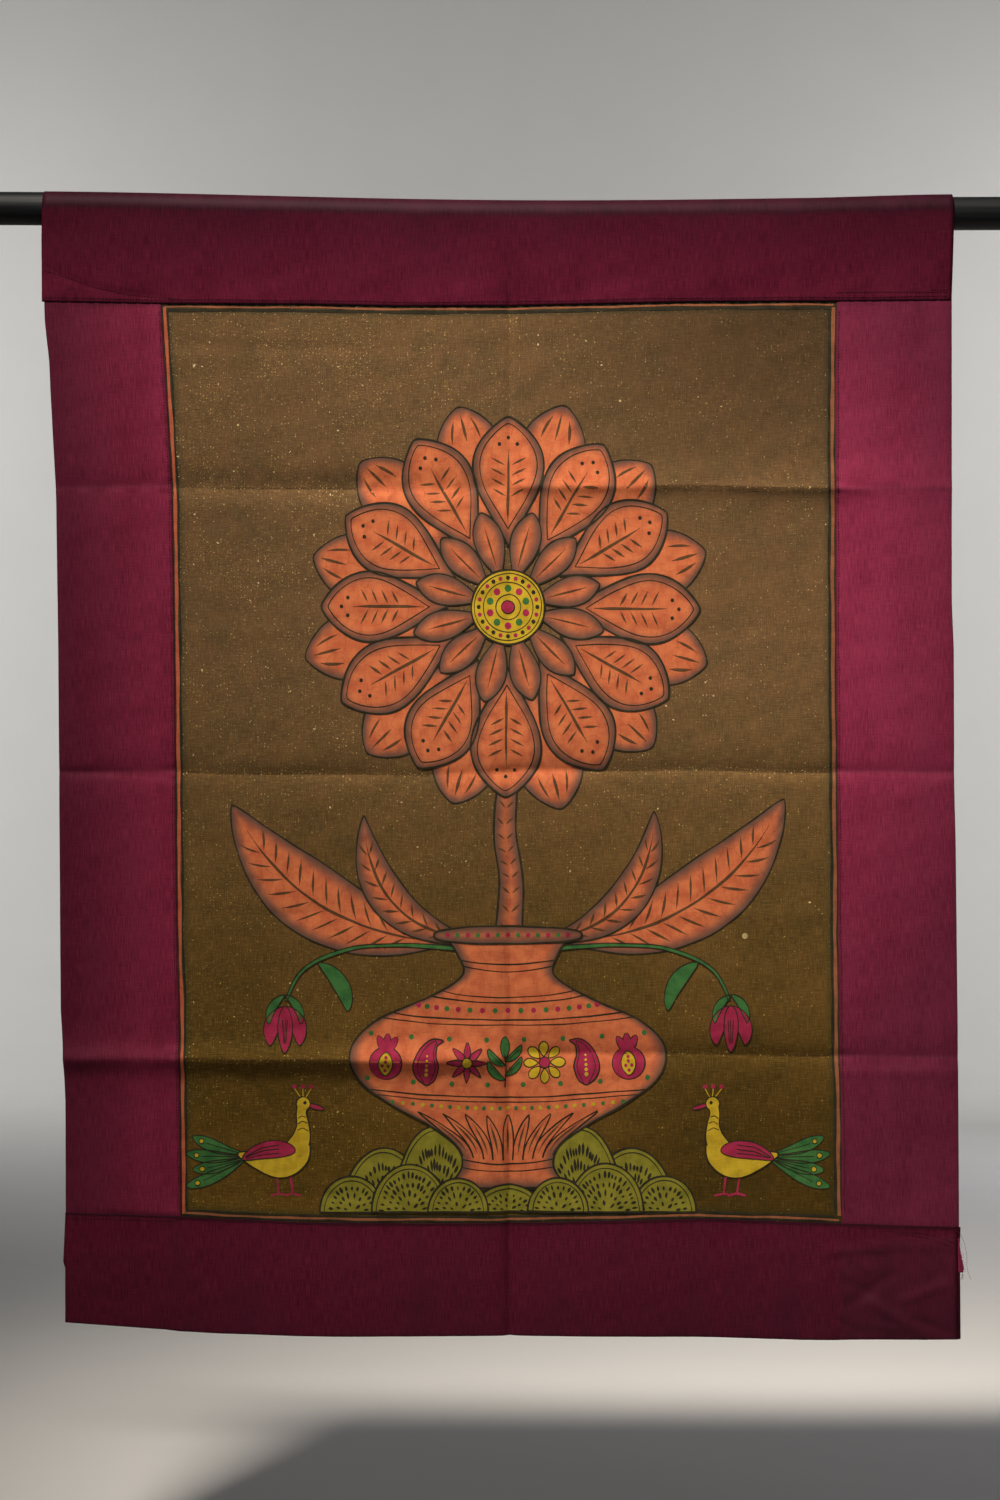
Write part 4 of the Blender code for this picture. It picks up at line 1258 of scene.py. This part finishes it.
# %% Pot, stem and leaves
POT_TOP, POT_FOOT = 722.0, 978.0
POT_WIDTHS = (64, 50, 46, 80, 128, 153, 158, 147, 118, 80, 52, 46, 62)
pot = band([8.0] * len(POT_WIDTHS), np.linspace(POT_TOP, POT_FOOT, len(POT_WIDTHS)), POT_WIDTHS)
ACROSS = np.linspace(-1, 1, 61)


def sag(t, u):
    """How far a level line on the round pot hangs at u, as a share of the pot's height."""
    return (0.012 + 0.022 * math.sin(math.pi * t)) * (1 - u ** 2)


def on_pot(t, u):
    """A point of the pot at height t and share u of its half width, as two plain numbers."""
    at_side, at_drop = pot(t + sag(t, u), u)
    return float(at_side), float(at_drop)


def pot_line(t, width=LINE, coat=5):
    inner_line(pot, t + sag(t, ACROSS), ACROSS * 0.985, width, coat)


def standing_petals(foot, top, count, width=LINE, coat=5):
    """Pointed petals that stand on a level line: each closes as 1 less a power of its own height."""
    share = np.concatenate([np.linspace(0, 1, 12), np.linspace(1, 0, 12)])
    way = np.repeat([-1.0, 1.0], 12)
    for number in range(count):
        middle = ((number + 0.5) * 2 / count - 1) * 0.97
        u = middle + way * 0.97 / count * (1 - share ** 2.2)
        inner_line(pot, mixed(foot, top, share) + sag(foot, u), u, width, coat)


stem = band((8, 5, 11, 8), (566, 622, 672, 735), (10, 11, 12, 14))
painted("salmon", stem, 0, HEAVY_LINE)
for t in np.linspace(0.16, 0.86, 9):
    for u in (-1, 1):
        inner_line(stem, [t + 0.035, t + 0.015, t], [u * 0.12, u * 0.45, u * 0.74], 1.9, 1, 0.4, "thin ink")
LEAVES = (
    # base, tip, half width, bow, coat
    ((-46, 730), (-268, 594), 36, -0.15, 0), ((62, 730), (284, 588), 36, 0.15, 0),
    ((-22, 730), (-136, 604), 19, -0.22, 2), ((38, 730), (154, 600), 19, 0.22, 2),
)
for base, tip, half_width, bow, coat in LEAVES:
    blade = leaf(base, tip, half_width, bow, fullest=0.54, blunt=0.8)
    painted("salmon", blade, coat)
    veins(blade, np.linspace(0.16, 0.80, 11 if half_width > 30 else 8), 0.72, 0.10, coat + 1)
for way in (-1, 1):
    stalk_side = 8 + way * np.array([48, 100, 158, 204, 222])
    stalk = band(stalk_side, (738, 734, 738, 758, 790), (2.0, 1.9, 1.8, 1.6, 1.5))
    painted("green", stalk, 2, FINE_LINE)
    painted("green", leaf((8 + way * 190, 752), (8 + way * 160, 800), 8, 0.14 * way), 2, FINE_LINE)
    bud(frame_at((8 + way * 223, 814), math.pi, 60), 60, 2)
painted("salmon", pot, 4, HEAVY_LINE)
painted("salmon", leaf((-66, 724), (82, 724), 9, blunt=0.34), 6, HEAVY_LINE)
for u in np.linspace(-0.86, 0.86, 13):
    dot("green" if abs(round(u * 7)) % 2 else "crimson", (8 + 70 * u, 724), 2.3, 7)
POT_RINGS = (
    # t down the pot, width
    (0.105, LINE), (0.130, FINE_LINE), (0.225, FINE_LINE), (0.245, LINE), (0.310, LINE), (0.330, FINE_LINE),
    (0.610, LINE), (0.630, FINE_LINE), (0.885, LINE), (0.915, FINE_LINE),
)
for t, width in POT_RINGS:
    pot_line(t, width)
for number, u in enumerate(np.linspace(-0.92, 0.92, 17)):
    dot("green" if number % 2 else "crimson", on_pot(0.275, u), 2.6, 5)
for u in np.linspace(-0.95, 0.95, 27):
    dot("green" if round(u * 13.5) % 2 else "yellow", on_pot(0.655, u), 2.1, 5)
standing_petals(0.870, 0.690, 9)
for number in range(9):
    u = ((number + 0.5) * 2 / 9 - 1) * 0.97
    inner_line(pot, np.linspace(0.725, 0.850, 8) + sag(0.87, u), np.full(8, u), 2.0, 5, 0.4, "thin ink")
BELLY = (
    # motif, u across the pot, size, further options
    (pomegranate, -0.76, 48, {}), (paisley, -0.49, 48, {"facing": 1}), (daisy, -0.23, 42, {}),
    (sprig, 0.02, 44, {}), (star, 0.26, 42, {}), (paisley, 0.51, 48, {"facing": -1}),
    (pomegranate, 0.77, 48, {}),
)
for motif, u, size, options in BELLY:
    motif(frame_at(on_pot(0.475, u), 0.10 * u, size), size, 5, **options)
for u in (-0.925, -0.625, -0.36, -0.105, 0.14, 0.385, 0.64, 0.93):
    for t in (0.385, 0.560):
        dot("green", on_pot(t, u), 2.6, 5)
print("pot", 2 * max(POT_WIDTHS), "mm across with", len(BELLY), "motifs")

# %% [markdown]
# The pot stands among small hills, the usual sign for rocky ground. Each hill is half an ellipse with
# a double edge, over a yellow-green wash, and is filled with dark dashes that spread from its foot.
# Their number grows with the distance, so that they stay equally close. A bird stands on each side.

# %% Hills and birds
FOOT_LINE = 1001.0
HILLS = (
    # side, half width, height, coat
    (-116, 42, 64, 0), (132, 42, 64, 0), (-64, 42, 86, 2), (80, 42, 86, 2),
    (-148, 32, 36, 2), (164, 32, 36, 2), (-90, 38, 48, 6), (106, 38, 48, 6), (8, 34, 27, 6),
    (-42, 30, 34, 8), (58, 30, 34, 8),
)
HILL_RIM = 4.5
DASH, DASH_WIDTH, DASH_PITCH = 6.2, 2.5, 4.6
FIRST_RING, RING_STEP = 5.0, 1.12


def hill(hill_side, half_width, height):
    """Half an ellipse on the foot line: t is its height as a sine, and u crosses it."""
    def place(t, u):
        t, u = np.broadcast_arrays(np.asarray(t, float), np.asarray(u, float))
        wide, tall = half_width * np.cos(math.pi / 2 * t), height * np.sin(math.pi / 2 * t)
        return hill_side + wide * u, FOOT_LINE - tall

    return place


for hill_side, half_width, height, coat in HILLS:
    painted("leaf_green", hill(hill_side, half_width, height), coat, HEAVY_LINE)
    low_wide, low_tall = half_width - HILL_RIM, height - HILL_RIM
    turn = np.linspace(0, math.pi, 60)
    stroke("ink", hill_side - low_wide * np.cos(turn), FOOT_LINE - low_tall * np.sin(turn), FINE_LINE,
           coat + 1)
    ring = FIRST_RING
    while ring < low_wide - DASH:
        count = max(3, int(math.pi * ring * (1 + low_tall / low_wide) / 2 / DASH_PITCH))
        for step in range(count):
            turn = math.pi * (step + 0.5 + 0.22 * math.sin(7 * ring + step)) / count
            reach = np.array([ring, ring + DASH * (0.8 + 0.2 * math.sin(5 * step + ring))])
            rise = low_tall / low_wide * reach * math.sin(turn)
            stroke("ink", hill_side - reach * math.cos(turn), FOOT_LINE - rise, DASH_WIDTH, coat + 1, 0.3)
        ring += DASH * RING_STEP
for way in (-1, 1):
    bird(frame_at((8 + way * 226, 938), 0.0, 104), 104, 0, -way)
for mark_side, mark_drop, radius in ((245, 725, 3.0), (-262, 214, 1.2), (-120, 640, 1.4), (120, 190, 1.3)):
    dot("lint", (mark_side, mark_drop), radius, 0)
stroke("nick", (8, 8.4), (214, 220), 2.4, 0, 0.4)
print(len(HILLS), "hills")

# %% [markdown]
# Now each colour becomes one mesh. Every point of paint is set on the cloth's own surface at its
# coat's height, and each grid is turned so that its faces look out of the cloth. The colours are
# earth and mineral pigments in gum: quite matt, thin enough that uneven yarn shows through, and
# rubbed away in specks. The salmon also darkens to a soft grey along its outlines, and it has fine
# cracks where the folded cloth broke it.

# %% Pigments
PANEL_FRONT = PANEL_THICK / 2
SHADE_FULL, SHADE_REACH = 2.0, 15.0
PAINT_BLOTCH, SPECK, CRACK_ACROSS, CRACK_DOWN = 13.0, 1.9, 21.0, 27.0


def pigment(name, deep, light, shade=None, worn="6f512f", wear=0.10):
    """Gum paint on cotton: blotchy between two tones, streaked by yarn, with worn specks of ground."""
    material, tree, shader = finish(name)
    yarn = threads(tree, THREAD, THREAD_RUN)
    blotch = add(tree, "ShaderNodeTexNoise",
                 {"Vector": in_mm(tree, PAINT_BLOTCH, PAINT_BLOTCH), "Scale": 1.0, "Detail": 5.0})
    tone = add(tree, "ShaderNodeMix", {0: 0.6, 2: yarn, 3: blotch.outputs[0]}).outputs[0]
    two_tone = {0: spread(tree, tone, 0.36, 0.62), 6: linear(deep), 7: linear(light)}
    colour = add(tree, "ShaderNodeMix", two_tone, data_type="RGBA").outputs[2]
    if shade:
        edge = add(tree, "ShaderNodeAttribute", attribute_name="edge").outputs["Fac"]
        wobble = add(tree, "ShaderNodeMath", {0: blotch.outputs[0], 1: 4.0, 2: edge},
                     operation="MULTIPLY_ADD")
        near = spread(tree, wobble.outputs[0], SHADE_FULL, SHADE_FULL + SHADE_REACH, 0.95, 0.0)
        shaded = add(tree, "ShaderNodeMix", {0: near, 6: colour, 7: linear(shade)}, data_type="RGBA")
        place = in_mm(tree, CRACK_ACROSS, CRACK_DOWN)
        bent = add(tree, "ShaderNodeVectorMath", {0: blotch.outputs["Color"], 1: (0.7, 0.7, 0.0), 2: place},
                   operation="MULTIPLY_ADD")
        cracks = add(tree, "ShaderNodeTexVoronoi", {"Vector": bent.outputs[0], "Scale": 1.0},
                     voronoi_dimensions="2D", feature="DISTANCE_TO_EDGE")
        cracked = spread(tree, cracks.outputs["Distance"], 0.0, 0.035, 0.30, 0.0)
        colour = add(tree, "ShaderNodeMix", {0: cracked, 6: shaded.outputs[2], 7: linear("7d3f28")},
                     data_type="RGBA").outputs[2]
    specks = add(tree, "ShaderNodeTexNoise",
                 {"Vector": in_mm(tree, SPECK, SPECK), "Scale": 1.0, "Detail": 4.0})
    gone = spread(tree, specks.outputs[0], 0.66 - wear / 2, 0.76 - wear / 2, 0.0, 0.75)
    colour = add(tree, "ShaderNodeMix", {0: gone, 6: colour, 7: linear(worn)}, data_type="RGBA").outputs[2]
    cloth_surface(tree, shader, colour, yarn, 0.4, 0.0003, 0.85, 0.15)
    return material


PIGMENTS = {
    "salmon": ("salmon earth pigment", "b65a38", "ce7246", "57443a", "96603f", 0.03),
    "bright orange": ("bright orange rule", "a34e33", "b75f41", None, "6f512f", 0.12),
    "dull orange": ("dull orange rule", "7a4a30", "94593a", None, "5a4026", 0.16),
    "yellow": ("yellow mineral pigment", "a88a1c", "c4a428", None, "8a742a", 0.05),
    "green": ("green mineral pigment", "2c5a2c", "3f7038", None, "4c5a30", 0.06),
    "crimson": ("crimson lake pigment", "8a1d3a", "a32a4a", None, "6f3a34", 0.06),
    "leaf_green": ("yellow-green earth pigment", "6f6a1e", "857e28", None, "5c5426", 0.06),
    "lint": ("undyed lint", "a8905e", "c4ab78", None, "8f7648", 0.10),
    "nick": ("dark nick in the cloth", "1c1610", "241c14", None, "1c1610", 0.0),
    "ink": ("green-black ink", "221f14", "332d1e", None, "4a3f2a", 0.03),
    "thin ink": ("thinned green-black ink", "4a331f", "5f4228", None, "8a583a", 0.05),
}


def colour_mesh(colour, grids):
    """Sets every grid of one colour on the cloth, facing out, and joins them into one mesh."""
    points, faces, maps, edges, first = [], [], [], [], 0
    for side, drop, lift, edge in grids:
        down_side, down_drop = side[1:, :-1] - side[:-1, :-1], drop[1:, :-1] - drop[:-1, :-1]
        over_side, over_drop = side[:-1, 1:] - side[:-1, :-1], drop[:-1, 1:] - drop[:-1, :-1]
        turned = (down_drop * over_side - down_side * over_drop).sum() < 0
        out = cloth(side, drop) + PANEL_FRONT + lift
        points.append(np.stack([side, -out, -drop], axis=-1).reshape(-1, 3))
        faces.append(grid_faces(*side.shape, first=first, turned=turned))
        maps.append(np.stack([side, -drop], axis=-1).reshape(-1, 2))
        edges.append(edge.ravel())
        first += side.size
    return mesh_object(
        "paint_" + colour.replace(" ", "_"), np.concatenate(points), np.concatenate(faces),
        [pigment(*PIGMENTS[colour])], uv=np.concatenate(maps), edge=np.concatenate(edges),
    )


painted_layers = [colour_mesh(colour, grids) for colour, grids in sorted(paint.items())]

# %% [markdown]
# The strips are sewn on by machine with crimson thread, three millimetres a stitch, and the rows
# wander a little. Each stitch is one small raised lens: its width is a sine along it, and its height
# a sine along it times one less u squared. The rows lie on the strips' own surfaces, front and back,
# so each strip needs the height of its outer face at any place.

# %% Heights of the strips
def side_stand(side, drop, seam):
    """How far a side strip's face stands out: proud at the seam, flatter at its ends, and puckered."""
    from_seam = np.abs(side - along(seam, drop))
    from_end = np.minimum(drop - along(TOP_SEAM, side), along(BOTTOM_SEAM, side) - drop)
    flatter = mixed(TUCK_FLATTER, 1.0, eased((from_end + TUCK) / TUCK_OVER))
    out = mixed(PROUD_SIDES, LAYER_OUT, eased(from_seam / PROUD_FADE)) * flatter
    waves = pucker(drop, from_seam) + pucker(side, np.abs(from_end)) * 0.6
    return out, cloth(side, drop) + waves


def bottom_stand(side, drop):
    """The same for the bottom strip."""
    below = drop - along(BOTTOM_SEAM, side)
    out = mixed(PROUD_ENDS, LAYER_OUT, eased(below / PROUD_FADE))
    return out, cloth(side, drop) + pucker(side, below)


def top_stand(side, drop):
    """The same for the sleeve: it leans out along its tangent from the seam to the bar."""
    seam_up, touch_out, touch_up = sleeve_tangent(side)[1:4]
    out = mixed(PROUD_ENDS, touch_out, (-drop - seam_up) / (touch_up - seam_up))
    free = eased((drop - TIGHT_DROP) / (FREE_DROP - TIGHT_DROP))
    above_seam = np.abs(along(TOP_SEAM, side) - drop)
    return out, cloth(side, drop) * free + pucker(side, above_seam) + fullness(side, drop, above_seam)


# %% Rows of stitches
STITCH, STITCH_LENGTH, STITCH_WIDE, STITCH_HIGH = 3.0, 2.3, 0.85, 0.42
LAYER_FACE = LAYER_THICK / 2
sewn = []


def sew(side, drop, stand, wander=0.35, back=True):
    """A row of stitches through a path's points: a small lens for every stitch, on one or both faces."""
    side, drop = np.asarray(side, float), np.asarray(drop, float)
    place = np.concatenate([[0], np.cumsum(np.hypot(np.diff(side), np.diff(drop)))])
    starts = np.arange(0.3, place[-1] - STITCH_LENGTH, STITCH)[:, None, None]
    t, u = np.linspace(0, 1, 5)[None, :, None], np.linspace(-1, 1, 3)[None, None, :]
    swell = np.sin(math.pi * (0.06 + 0.88 * t))
    at = starts + STITCH_LENGTH * (1 + 0.08 * np.sin(starts * 1.7)) * t
    mid_side, mid_drop = np.interp(at, place, side), np.interp(at, place, drop)
    run = np.interp(at + 0.5, place, side) - np.interp(at - 0.5, place, side)
    fall = np.interp(at + 0.5, place, drop) - np.interp(at - 0.5, place, drop)
    length = np.hypot(run, fall)
    off = STITCH_WIDE / 2 * swell * u + wander * np.sin(at / 23 + side[0]) + 0.12 * np.sin(starts * 2.9)
    stitch_side, stitch_drop = mid_side - fall / length * off, mid_drop + run / length * off
    out, sheet = stand(stitch_side, stitch_drop)
    raised = LAYER_FACE + 0.02 + STITCH_HIGH * swell * (1 - u * u)
    sewn.append((stitch_side, stitch_drop, -(sheet + out + raised), False))
    if back:
        sewn.append((stitch_side, stitch_drop, -(sheet - out - raised), True))


def left_stand(side, drop):
    return side_stand(side, drop, LEFT_SEAM)


def right_stand(side, drop):
    return side_stand(side, drop, RIGHT_SEAM)


SIDE_SEAM_ROW, TOP_ROW, TOP_SECOND_ROW, BOTTOM_ROW = 2.6, 3.6, 8.0, 2.2
height = np.linspace(100, 1000, 400)
sew(along(LEFT_SEAM, height) - SIDE_SEAM_ROW, height, left_stand)
sew(along(RIGHT_SEAM, height) + SIDE_SEAM_ROW, height, right_stand)
across = np.linspace(-455, 449, 400)
sew(across, along(TOP_SEAM, across) - TOP_ROW, top_stand)
across = np.linspace(336, 449, 60)
sew(across, along(TOP_SEAM, across) - TOP_SECOND_ROW, top_stand)
sew((430, 449), (79.0, 79.6), top_stand, 0.2)
sew((-455, -444, -430, -405, -370, -340, -320), (53, 60, 68, 77, 84, 87, 88.5), top_stand, 0.2)
sew((-455, -440, -428), (60.5, 65, 69.5), top_stand, 0.2)
across = np.linspace(-432, 342, 400)
sew(across, along(BOTTOM_SEAM, across) + BOTTOM_ROW + 3.0 * eased((-315 - across) / 15), bottom_stand)
across = np.linspace(346, 455, 60)
sew(across, along(BOTTOM_SEAM, across) + 3.0, bottom_stand)
sew((386, 408, 425, 442, 455), (1019.5, 1020.5, 1022.5, 1027, 1032), bottom_stand, 0.2)
sew((396, 414, 430, 444, 455), (1022.5, 1024, 1027, 1032, 1037.5), bottom_stand, 0.2)


def stitch_mesh():
    """Joins every row: each stitch is a grid of its own, and the back ones face the other way."""
    points, faces, first = [], [], 0
    for side, drop, out, behind in sewn:
        count = side.shape[0]
        one = grid_faces(side.shape[1], side.shape[2], turned=behind)
        starts = np.arange(count)[:, None, None] * side.shape[1] * side.shape[2]
        faces.append((one[None] + first + starts).reshape(-1, 4))
        points.append(np.stack([side, out, -drop], axis=-1).reshape(-1, 3))
        first += side.size
    material, tree, shader = finish("twisted crimson sewing thread")
    twist = add(tree, "ShaderNodeTexCoord").outputs["Object"]
    noise = add(tree, "ShaderNodeTexNoise", {"Vector": twist, "Scale": 900.0, "Detail": 2.0})
    colour = add(tree, "ShaderNodeMix", {0: noise.outputs[0], 6: linear("23040b"), 7: linear("430b19")},
                 data_type="RGBA")
    tree.links.new(colour.outputs[2], shader.inputs["Base Color"])
    shader.inputs["Roughness"].default_value = 0.7
    shader.inputs["Specular IOR Level"].default_value = 0.1
    return mesh_object("sewing_thread", np.concatenate(points), np.concatenate(faces), [material])


stitches = stitch_mesh()

# %% [markdown]
# At the lower right a corner of the side strip's inner layer has slipped out past the hem. It is one
# layer of the same sateen, cut on the slant, and its raw edge has frayed: short ends of weft stand
# out of it, and one long thread hangs in a loose curve.

# %% Slipped inner layer and its loose threads
TAB_OUTER = (
    # drop, side
    (1027, 458.6), (1036, 459.6), (1047, 461.5), (1057, 463.6), (1061, 462.6),
)
TAB_INNER, TAB_BEHIND, TAB_THICK = 457.6, -0.7, 0.35
FRAY_WIDE = 0.28


def tab():
    """A small slanted sheet: rows down it, columns from the hem out to its slanted edge."""
    drop, share = np.linspace(1027.3, 1061, 24)[:, None], np.linspace(0, 1, 7)[None, :]
    ragged = 0.18 * np.sin(drop * 2.9) + 0.12 * np.sin(drop * 5.3)
    side = mixed(TAB_INNER, along(TAB_OUTER, drop) + ragged * share, share)
    drop = drop + 0 * side
    wave = 0.15 * np.sin(drop / 5) * share
    points = np.stack([side, TAB_BEHIND - cloth(side, drop) - wave, -drop], axis=-1).reshape(-1, 3)
    made = mesh_object("slipped_inner_layer", points, grid_faces(*side.shape), [sateen_left],
                       uv=np.stack([side, -drop], axis=-1).reshape(-1, 2), rub=np.full(side.shape, 0.3))
    return thickened(made, TAB_THICK)


def thread_tube(path, radius, sides=5):
    """A thin tube through a few points, given as side, drop and out, by a ring at each point."""
    path = np.asarray(path, float)
    even = np.linspace(0, len(path) - 1, 6 * len(path))
    smooth = np.stack([np.interp(even, np.arange(len(path)), path[:, k]) for k in range(3)], axis=-1)
    for _ in range(4):
        smooth[1:-1] = (smooth[:-2] + 2 * smooth[1:-1] + smooth[2:]) / 4
    way = np.gradient(smooth, axis=0)
    way = way / np.linalg.norm(way, axis=1)[:, None]
    first = np.cross(way, [0.3, 0.1, 1.0])
    first = first / np.linalg.norm(first, axis=1)[:, None]
    second = np.cross(way, first)
    turn = np.linspace(0, 2 * math.pi, sides + 1)[None, :, None]
    ring = smooth[:, None] + radius * (np.cos(turn) * first[:, None] + np.sin(turn) * second[:, None])
    return np.stack([ring[..., 0], -ring[..., 2], -ring[..., 1]], axis=-1)


def frayed_threads():
    """The long loose thread and short weft ends along the slanted edge."""
    relief = float(cloth(459.0, 1050.0))
    tubes = [thread_tube([(457, 1020, relief), (460.5, 1023, relief + 1), (464, 1032, relief + 2.4),
                          (466.5, 1045, relief + 1.6), (466.2, 1054, relief + 0.6), (468, 1062, relief - 0.4),
                          (470.5, 1068, relief - 1)], FRAY_WIDE / 2)]
    for number, drop in enumerate(np.linspace(1030, 1060, 14)):
        root = float(along(TAB_OUTER, drop))
        long_end = 1.2 + 1.3 * abs(math.sin(number * 2.3))
        hang = 0.8 * math.sin(number * 1.7)
        middle = (root + long_end / 2, drop + hang / 2, relief + 0.7)
        tubes.append(thread_tube([(root - 0.6, drop, relief + 0.7), middle,
                                  (root + long_end, drop + hang, relief + 0.9)], FRAY_WIDE / 2.6))
    tuft = [(462.4, 1060.6, relief + 0.7), (462.0, 1064.5, relief + 0.6), (461.0, 1067.5, relief + 0.3)]
    for lean in (-1.2, -0.3, 0.6, 1.5):
        tubes.append(thread_tube([(side + lean * k / 2, drop + 0.5 * abs(lean), out)
                                  for k, (side, drop, out) in enumerate(tuft)], FRAY_WIDE / 2.6))
    points, faces, first = [], [], 0
    for ring in tubes:
        points.append(ring.reshape(-1, 3))
        faces.append(grid_faces(*ring.shape[:2], first=first, turned=True))
        first += ring.shape[0] * ring.shape[1]
    material, tree, shader = finish("loose sateen threads")
    noise = add(tree, "ShaderNodeTexNoise", {"Vector": add(tree, "ShaderNodeTexCoord").outputs["Object"],
                                             "Scale": 700.0})
    colour = add(tree, "ShaderNodeMix", {0: noise.outputs[0], 6: linear("4e1020"), 7: linear("7a2138")},
                 data_type="RGBA")
    tree.links.new(colour.outputs[2], shader.inputs["Base Color"])
    shader.inputs["Roughness"].default_value = 0.65
    return mesh_object("loose_threads", np.concatenate(points), np.concatenate(faces), [material])


slipped_tab = tab()
loose_threads = frayed_threads()

# %% [markdown]
# The photographer's view is straight on and from far enough away that the cloth keeps its true
# proportions. A 36 mm sensor on the long side and this lens show 1.5 m of height at the cloth. The
# setting is a plain pale floor that curves up into a wall. The main light is high and a little to the
# left, so that it grazes the cloth and every fold shows, and a grid narrows it to a soft pool on the
# cloth, so that the floor doesn't throw light back up into the folds. Two large soft lights fill the
# rest. The wall stands far behind, so that the back of the cloth can be seen too. It has two lamps of
# its own, and the back has one.

# %% Camera, setting and light
VIEW_HEIGHT, VIEW_DISTANCE, VIEW_CENTRE = 1.5, 3.2, -0.539
FLOOR_LEVEL, WALL_BACK, SWEEP = -1.36, 6.0, 1.6
KEY_POWER, KEY_SPREAD, FILL_POWER, LOW_POWER, WALL_POWER, BACK_POWER = 11.3, 36.0, 3.2, 0.8, 34.0, 20.0

camera_data = bpy.data.cameras.new("straight view")
camera_data.sensor_width = 36.0
camera_data.lens = camera_data.sensor_width * VIEW_DISTANCE / VIEW_HEIGHT
camera = bpy.data.objects.new("straight view", camera_data)
camera.location = (0.0, -VIEW_DISTANCE, VIEW_CENTRE)
camera.rotation_euler = (math.pi / 2, 0.0, 0.0)
bpy.context.scene.collection.objects.link(camera)
bpy.context.scene.camera = camera
bpy.context.scene.view_settings.view_transform = "Standard"


def setting():
    """A floor, a quarter circle and a wall: one profile, stretched sideways."""
    turn = np.linspace(0, math.pi / 2, 17)
    back = np.concatenate([[-6.0], WALL_BACK - SWEEP + SWEEP * np.sin(turn), [WALL_BACK]])
    up = np.concatenate([[FLOOR_LEVEL], FLOOR_LEVEL + SWEEP - SWEEP * np.cos(turn), [3.5]])
    across = np.linspace(-7.0, 7.0, 5)
    points = np.stack(np.broadcast_arrays(across[None, :], back[:, None], up[:, None]), axis=-1) / MM
    material, tree, shader = finish("pale painted board")
    place = add(tree, "ShaderNodeTexCoord").outputs["Object"]
    grain = add(tree, "ShaderNodeTexNoise", {"Vector": place, "Scale": 6.0, "Detail": 3.0})
    tone = add(tree, "ShaderNodeMix", {0: grain.outputs[0], 6: linear("d9d7d3"), 7: linear("dfdcd8")},
               data_type="RGBA")
    tree.links.new(tone.outputs[2], shader.inputs["Base Color"])
    shader.inputs["Roughness"].default_value = 0.9
    faces = grid_faces(*points.shape[:2], turned=True)
    made = mesh_object("setting", points.reshape(-1, 3), faces, [material])


def soft_light(name, place, aim, size, power, colour, spread_degrees=180.0):
    """A square lamp at place that faces aim, with a grid in front where its spread is narrow."""
    lamp = bpy.data.lights.new(name, "AREA")
    lamp.size = size
    lamp.spread = math.radians(spread_degrees)
    lamp.energy = power
    lamp.color = linear(colour)[:3]
    held = bpy.data.objects.new(name, lamp)
    run = [to - at for to, at in zip(aim, place)]
    flat = math.hypot(run[0], run[1])
    held.location = place
    held.rotation_euler = (math.atan2(flat, -run[2]), 0.0, math.atan2(-run[0], run[1]))
    bpy.context.scene.collection.objects.link(held)


setting()
soft_light("key", (-0.8, -1.6, 2.75), (0.13, 0.0, -0.30), 0.5, KEY_POWER, "fff6ea", KEY_SPREAD)
soft_light("fill", (1.6, -2.6, 0.2), (0.0, 0.0, -0.5), 1.6, FILL_POWER, "f2f5ff")
soft_light("low fill", (-1.2, -2.4, -0.9), (0.0, 0.0, -0.8), 1.6, LOW_POWER, "fff8f0")
soft_light("back fill", (2.2, 3.0, -0.6), (0.0, 0.0, -0.5), 1.4, BACK_POWER, "f6f6ff")
soft_light("wall, left", (-2.4, 4.3, 0.6), (0.0, 6.0, -0.4), 1.4, WALL_POWER, "ffffff")
soft_light("wall, right", (2.4, 4.3, 0.6), (0.0, 6.0, -0.4), 1.4, WALL_POWER, "ffffff")
world = bpy.data.worlds.new("soft room")
world.use_nodes = True
world.node_tree.nodes["Background"].inputs["Color"].default_value = linear("c9ccd1")
world.node_tree.nodes["Background"].inputs["Strength"].default_value = 0.12
bpy.context.scene.world = world

# %% [markdown]
# Last, every new piece, the bar too, is attached to one root empty, and each node of the measured
# model that a piece stands for is hidden. The table also lists a slot, the flat size that its cloth
# was cut to and the pieces on it, but the loop only attaches and hides.

# %% Attach the pieces and hide the nodes they stand for
PARTS = (
    # piece, node it stands for, slot, flat width and length in metres, pieces on it
    (panel, "painted_panel", "painted_cotton", (0.672, 0.925), painted_layers),
    (strip_left, "border_left", "crimson_sateen", (0.242, 0.920), []),
    (strip_right, "border_right", "crimson_sateen", (0.246, 0.930), [slipped_tab, loose_threads]),
    (strip_bottom, "border_bottom", "crimson_sateen", (0.897, 0.240), []),
    (strip_top, "border_top", "crimson_sateen", (0.909, 0.262), [stitches]),
)
for piece, node, slot, flat, on_it in PARTS:
    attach(piece, "root")
    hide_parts(node)
    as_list(on_it)
for piece in painted_layers:
    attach(piece, "root")
for piece in (stitches, slipped_tab, loose_threads):
    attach(piece, "root")
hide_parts("inner_layer_tab")
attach(hanging_bar, "root")
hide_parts("rod")
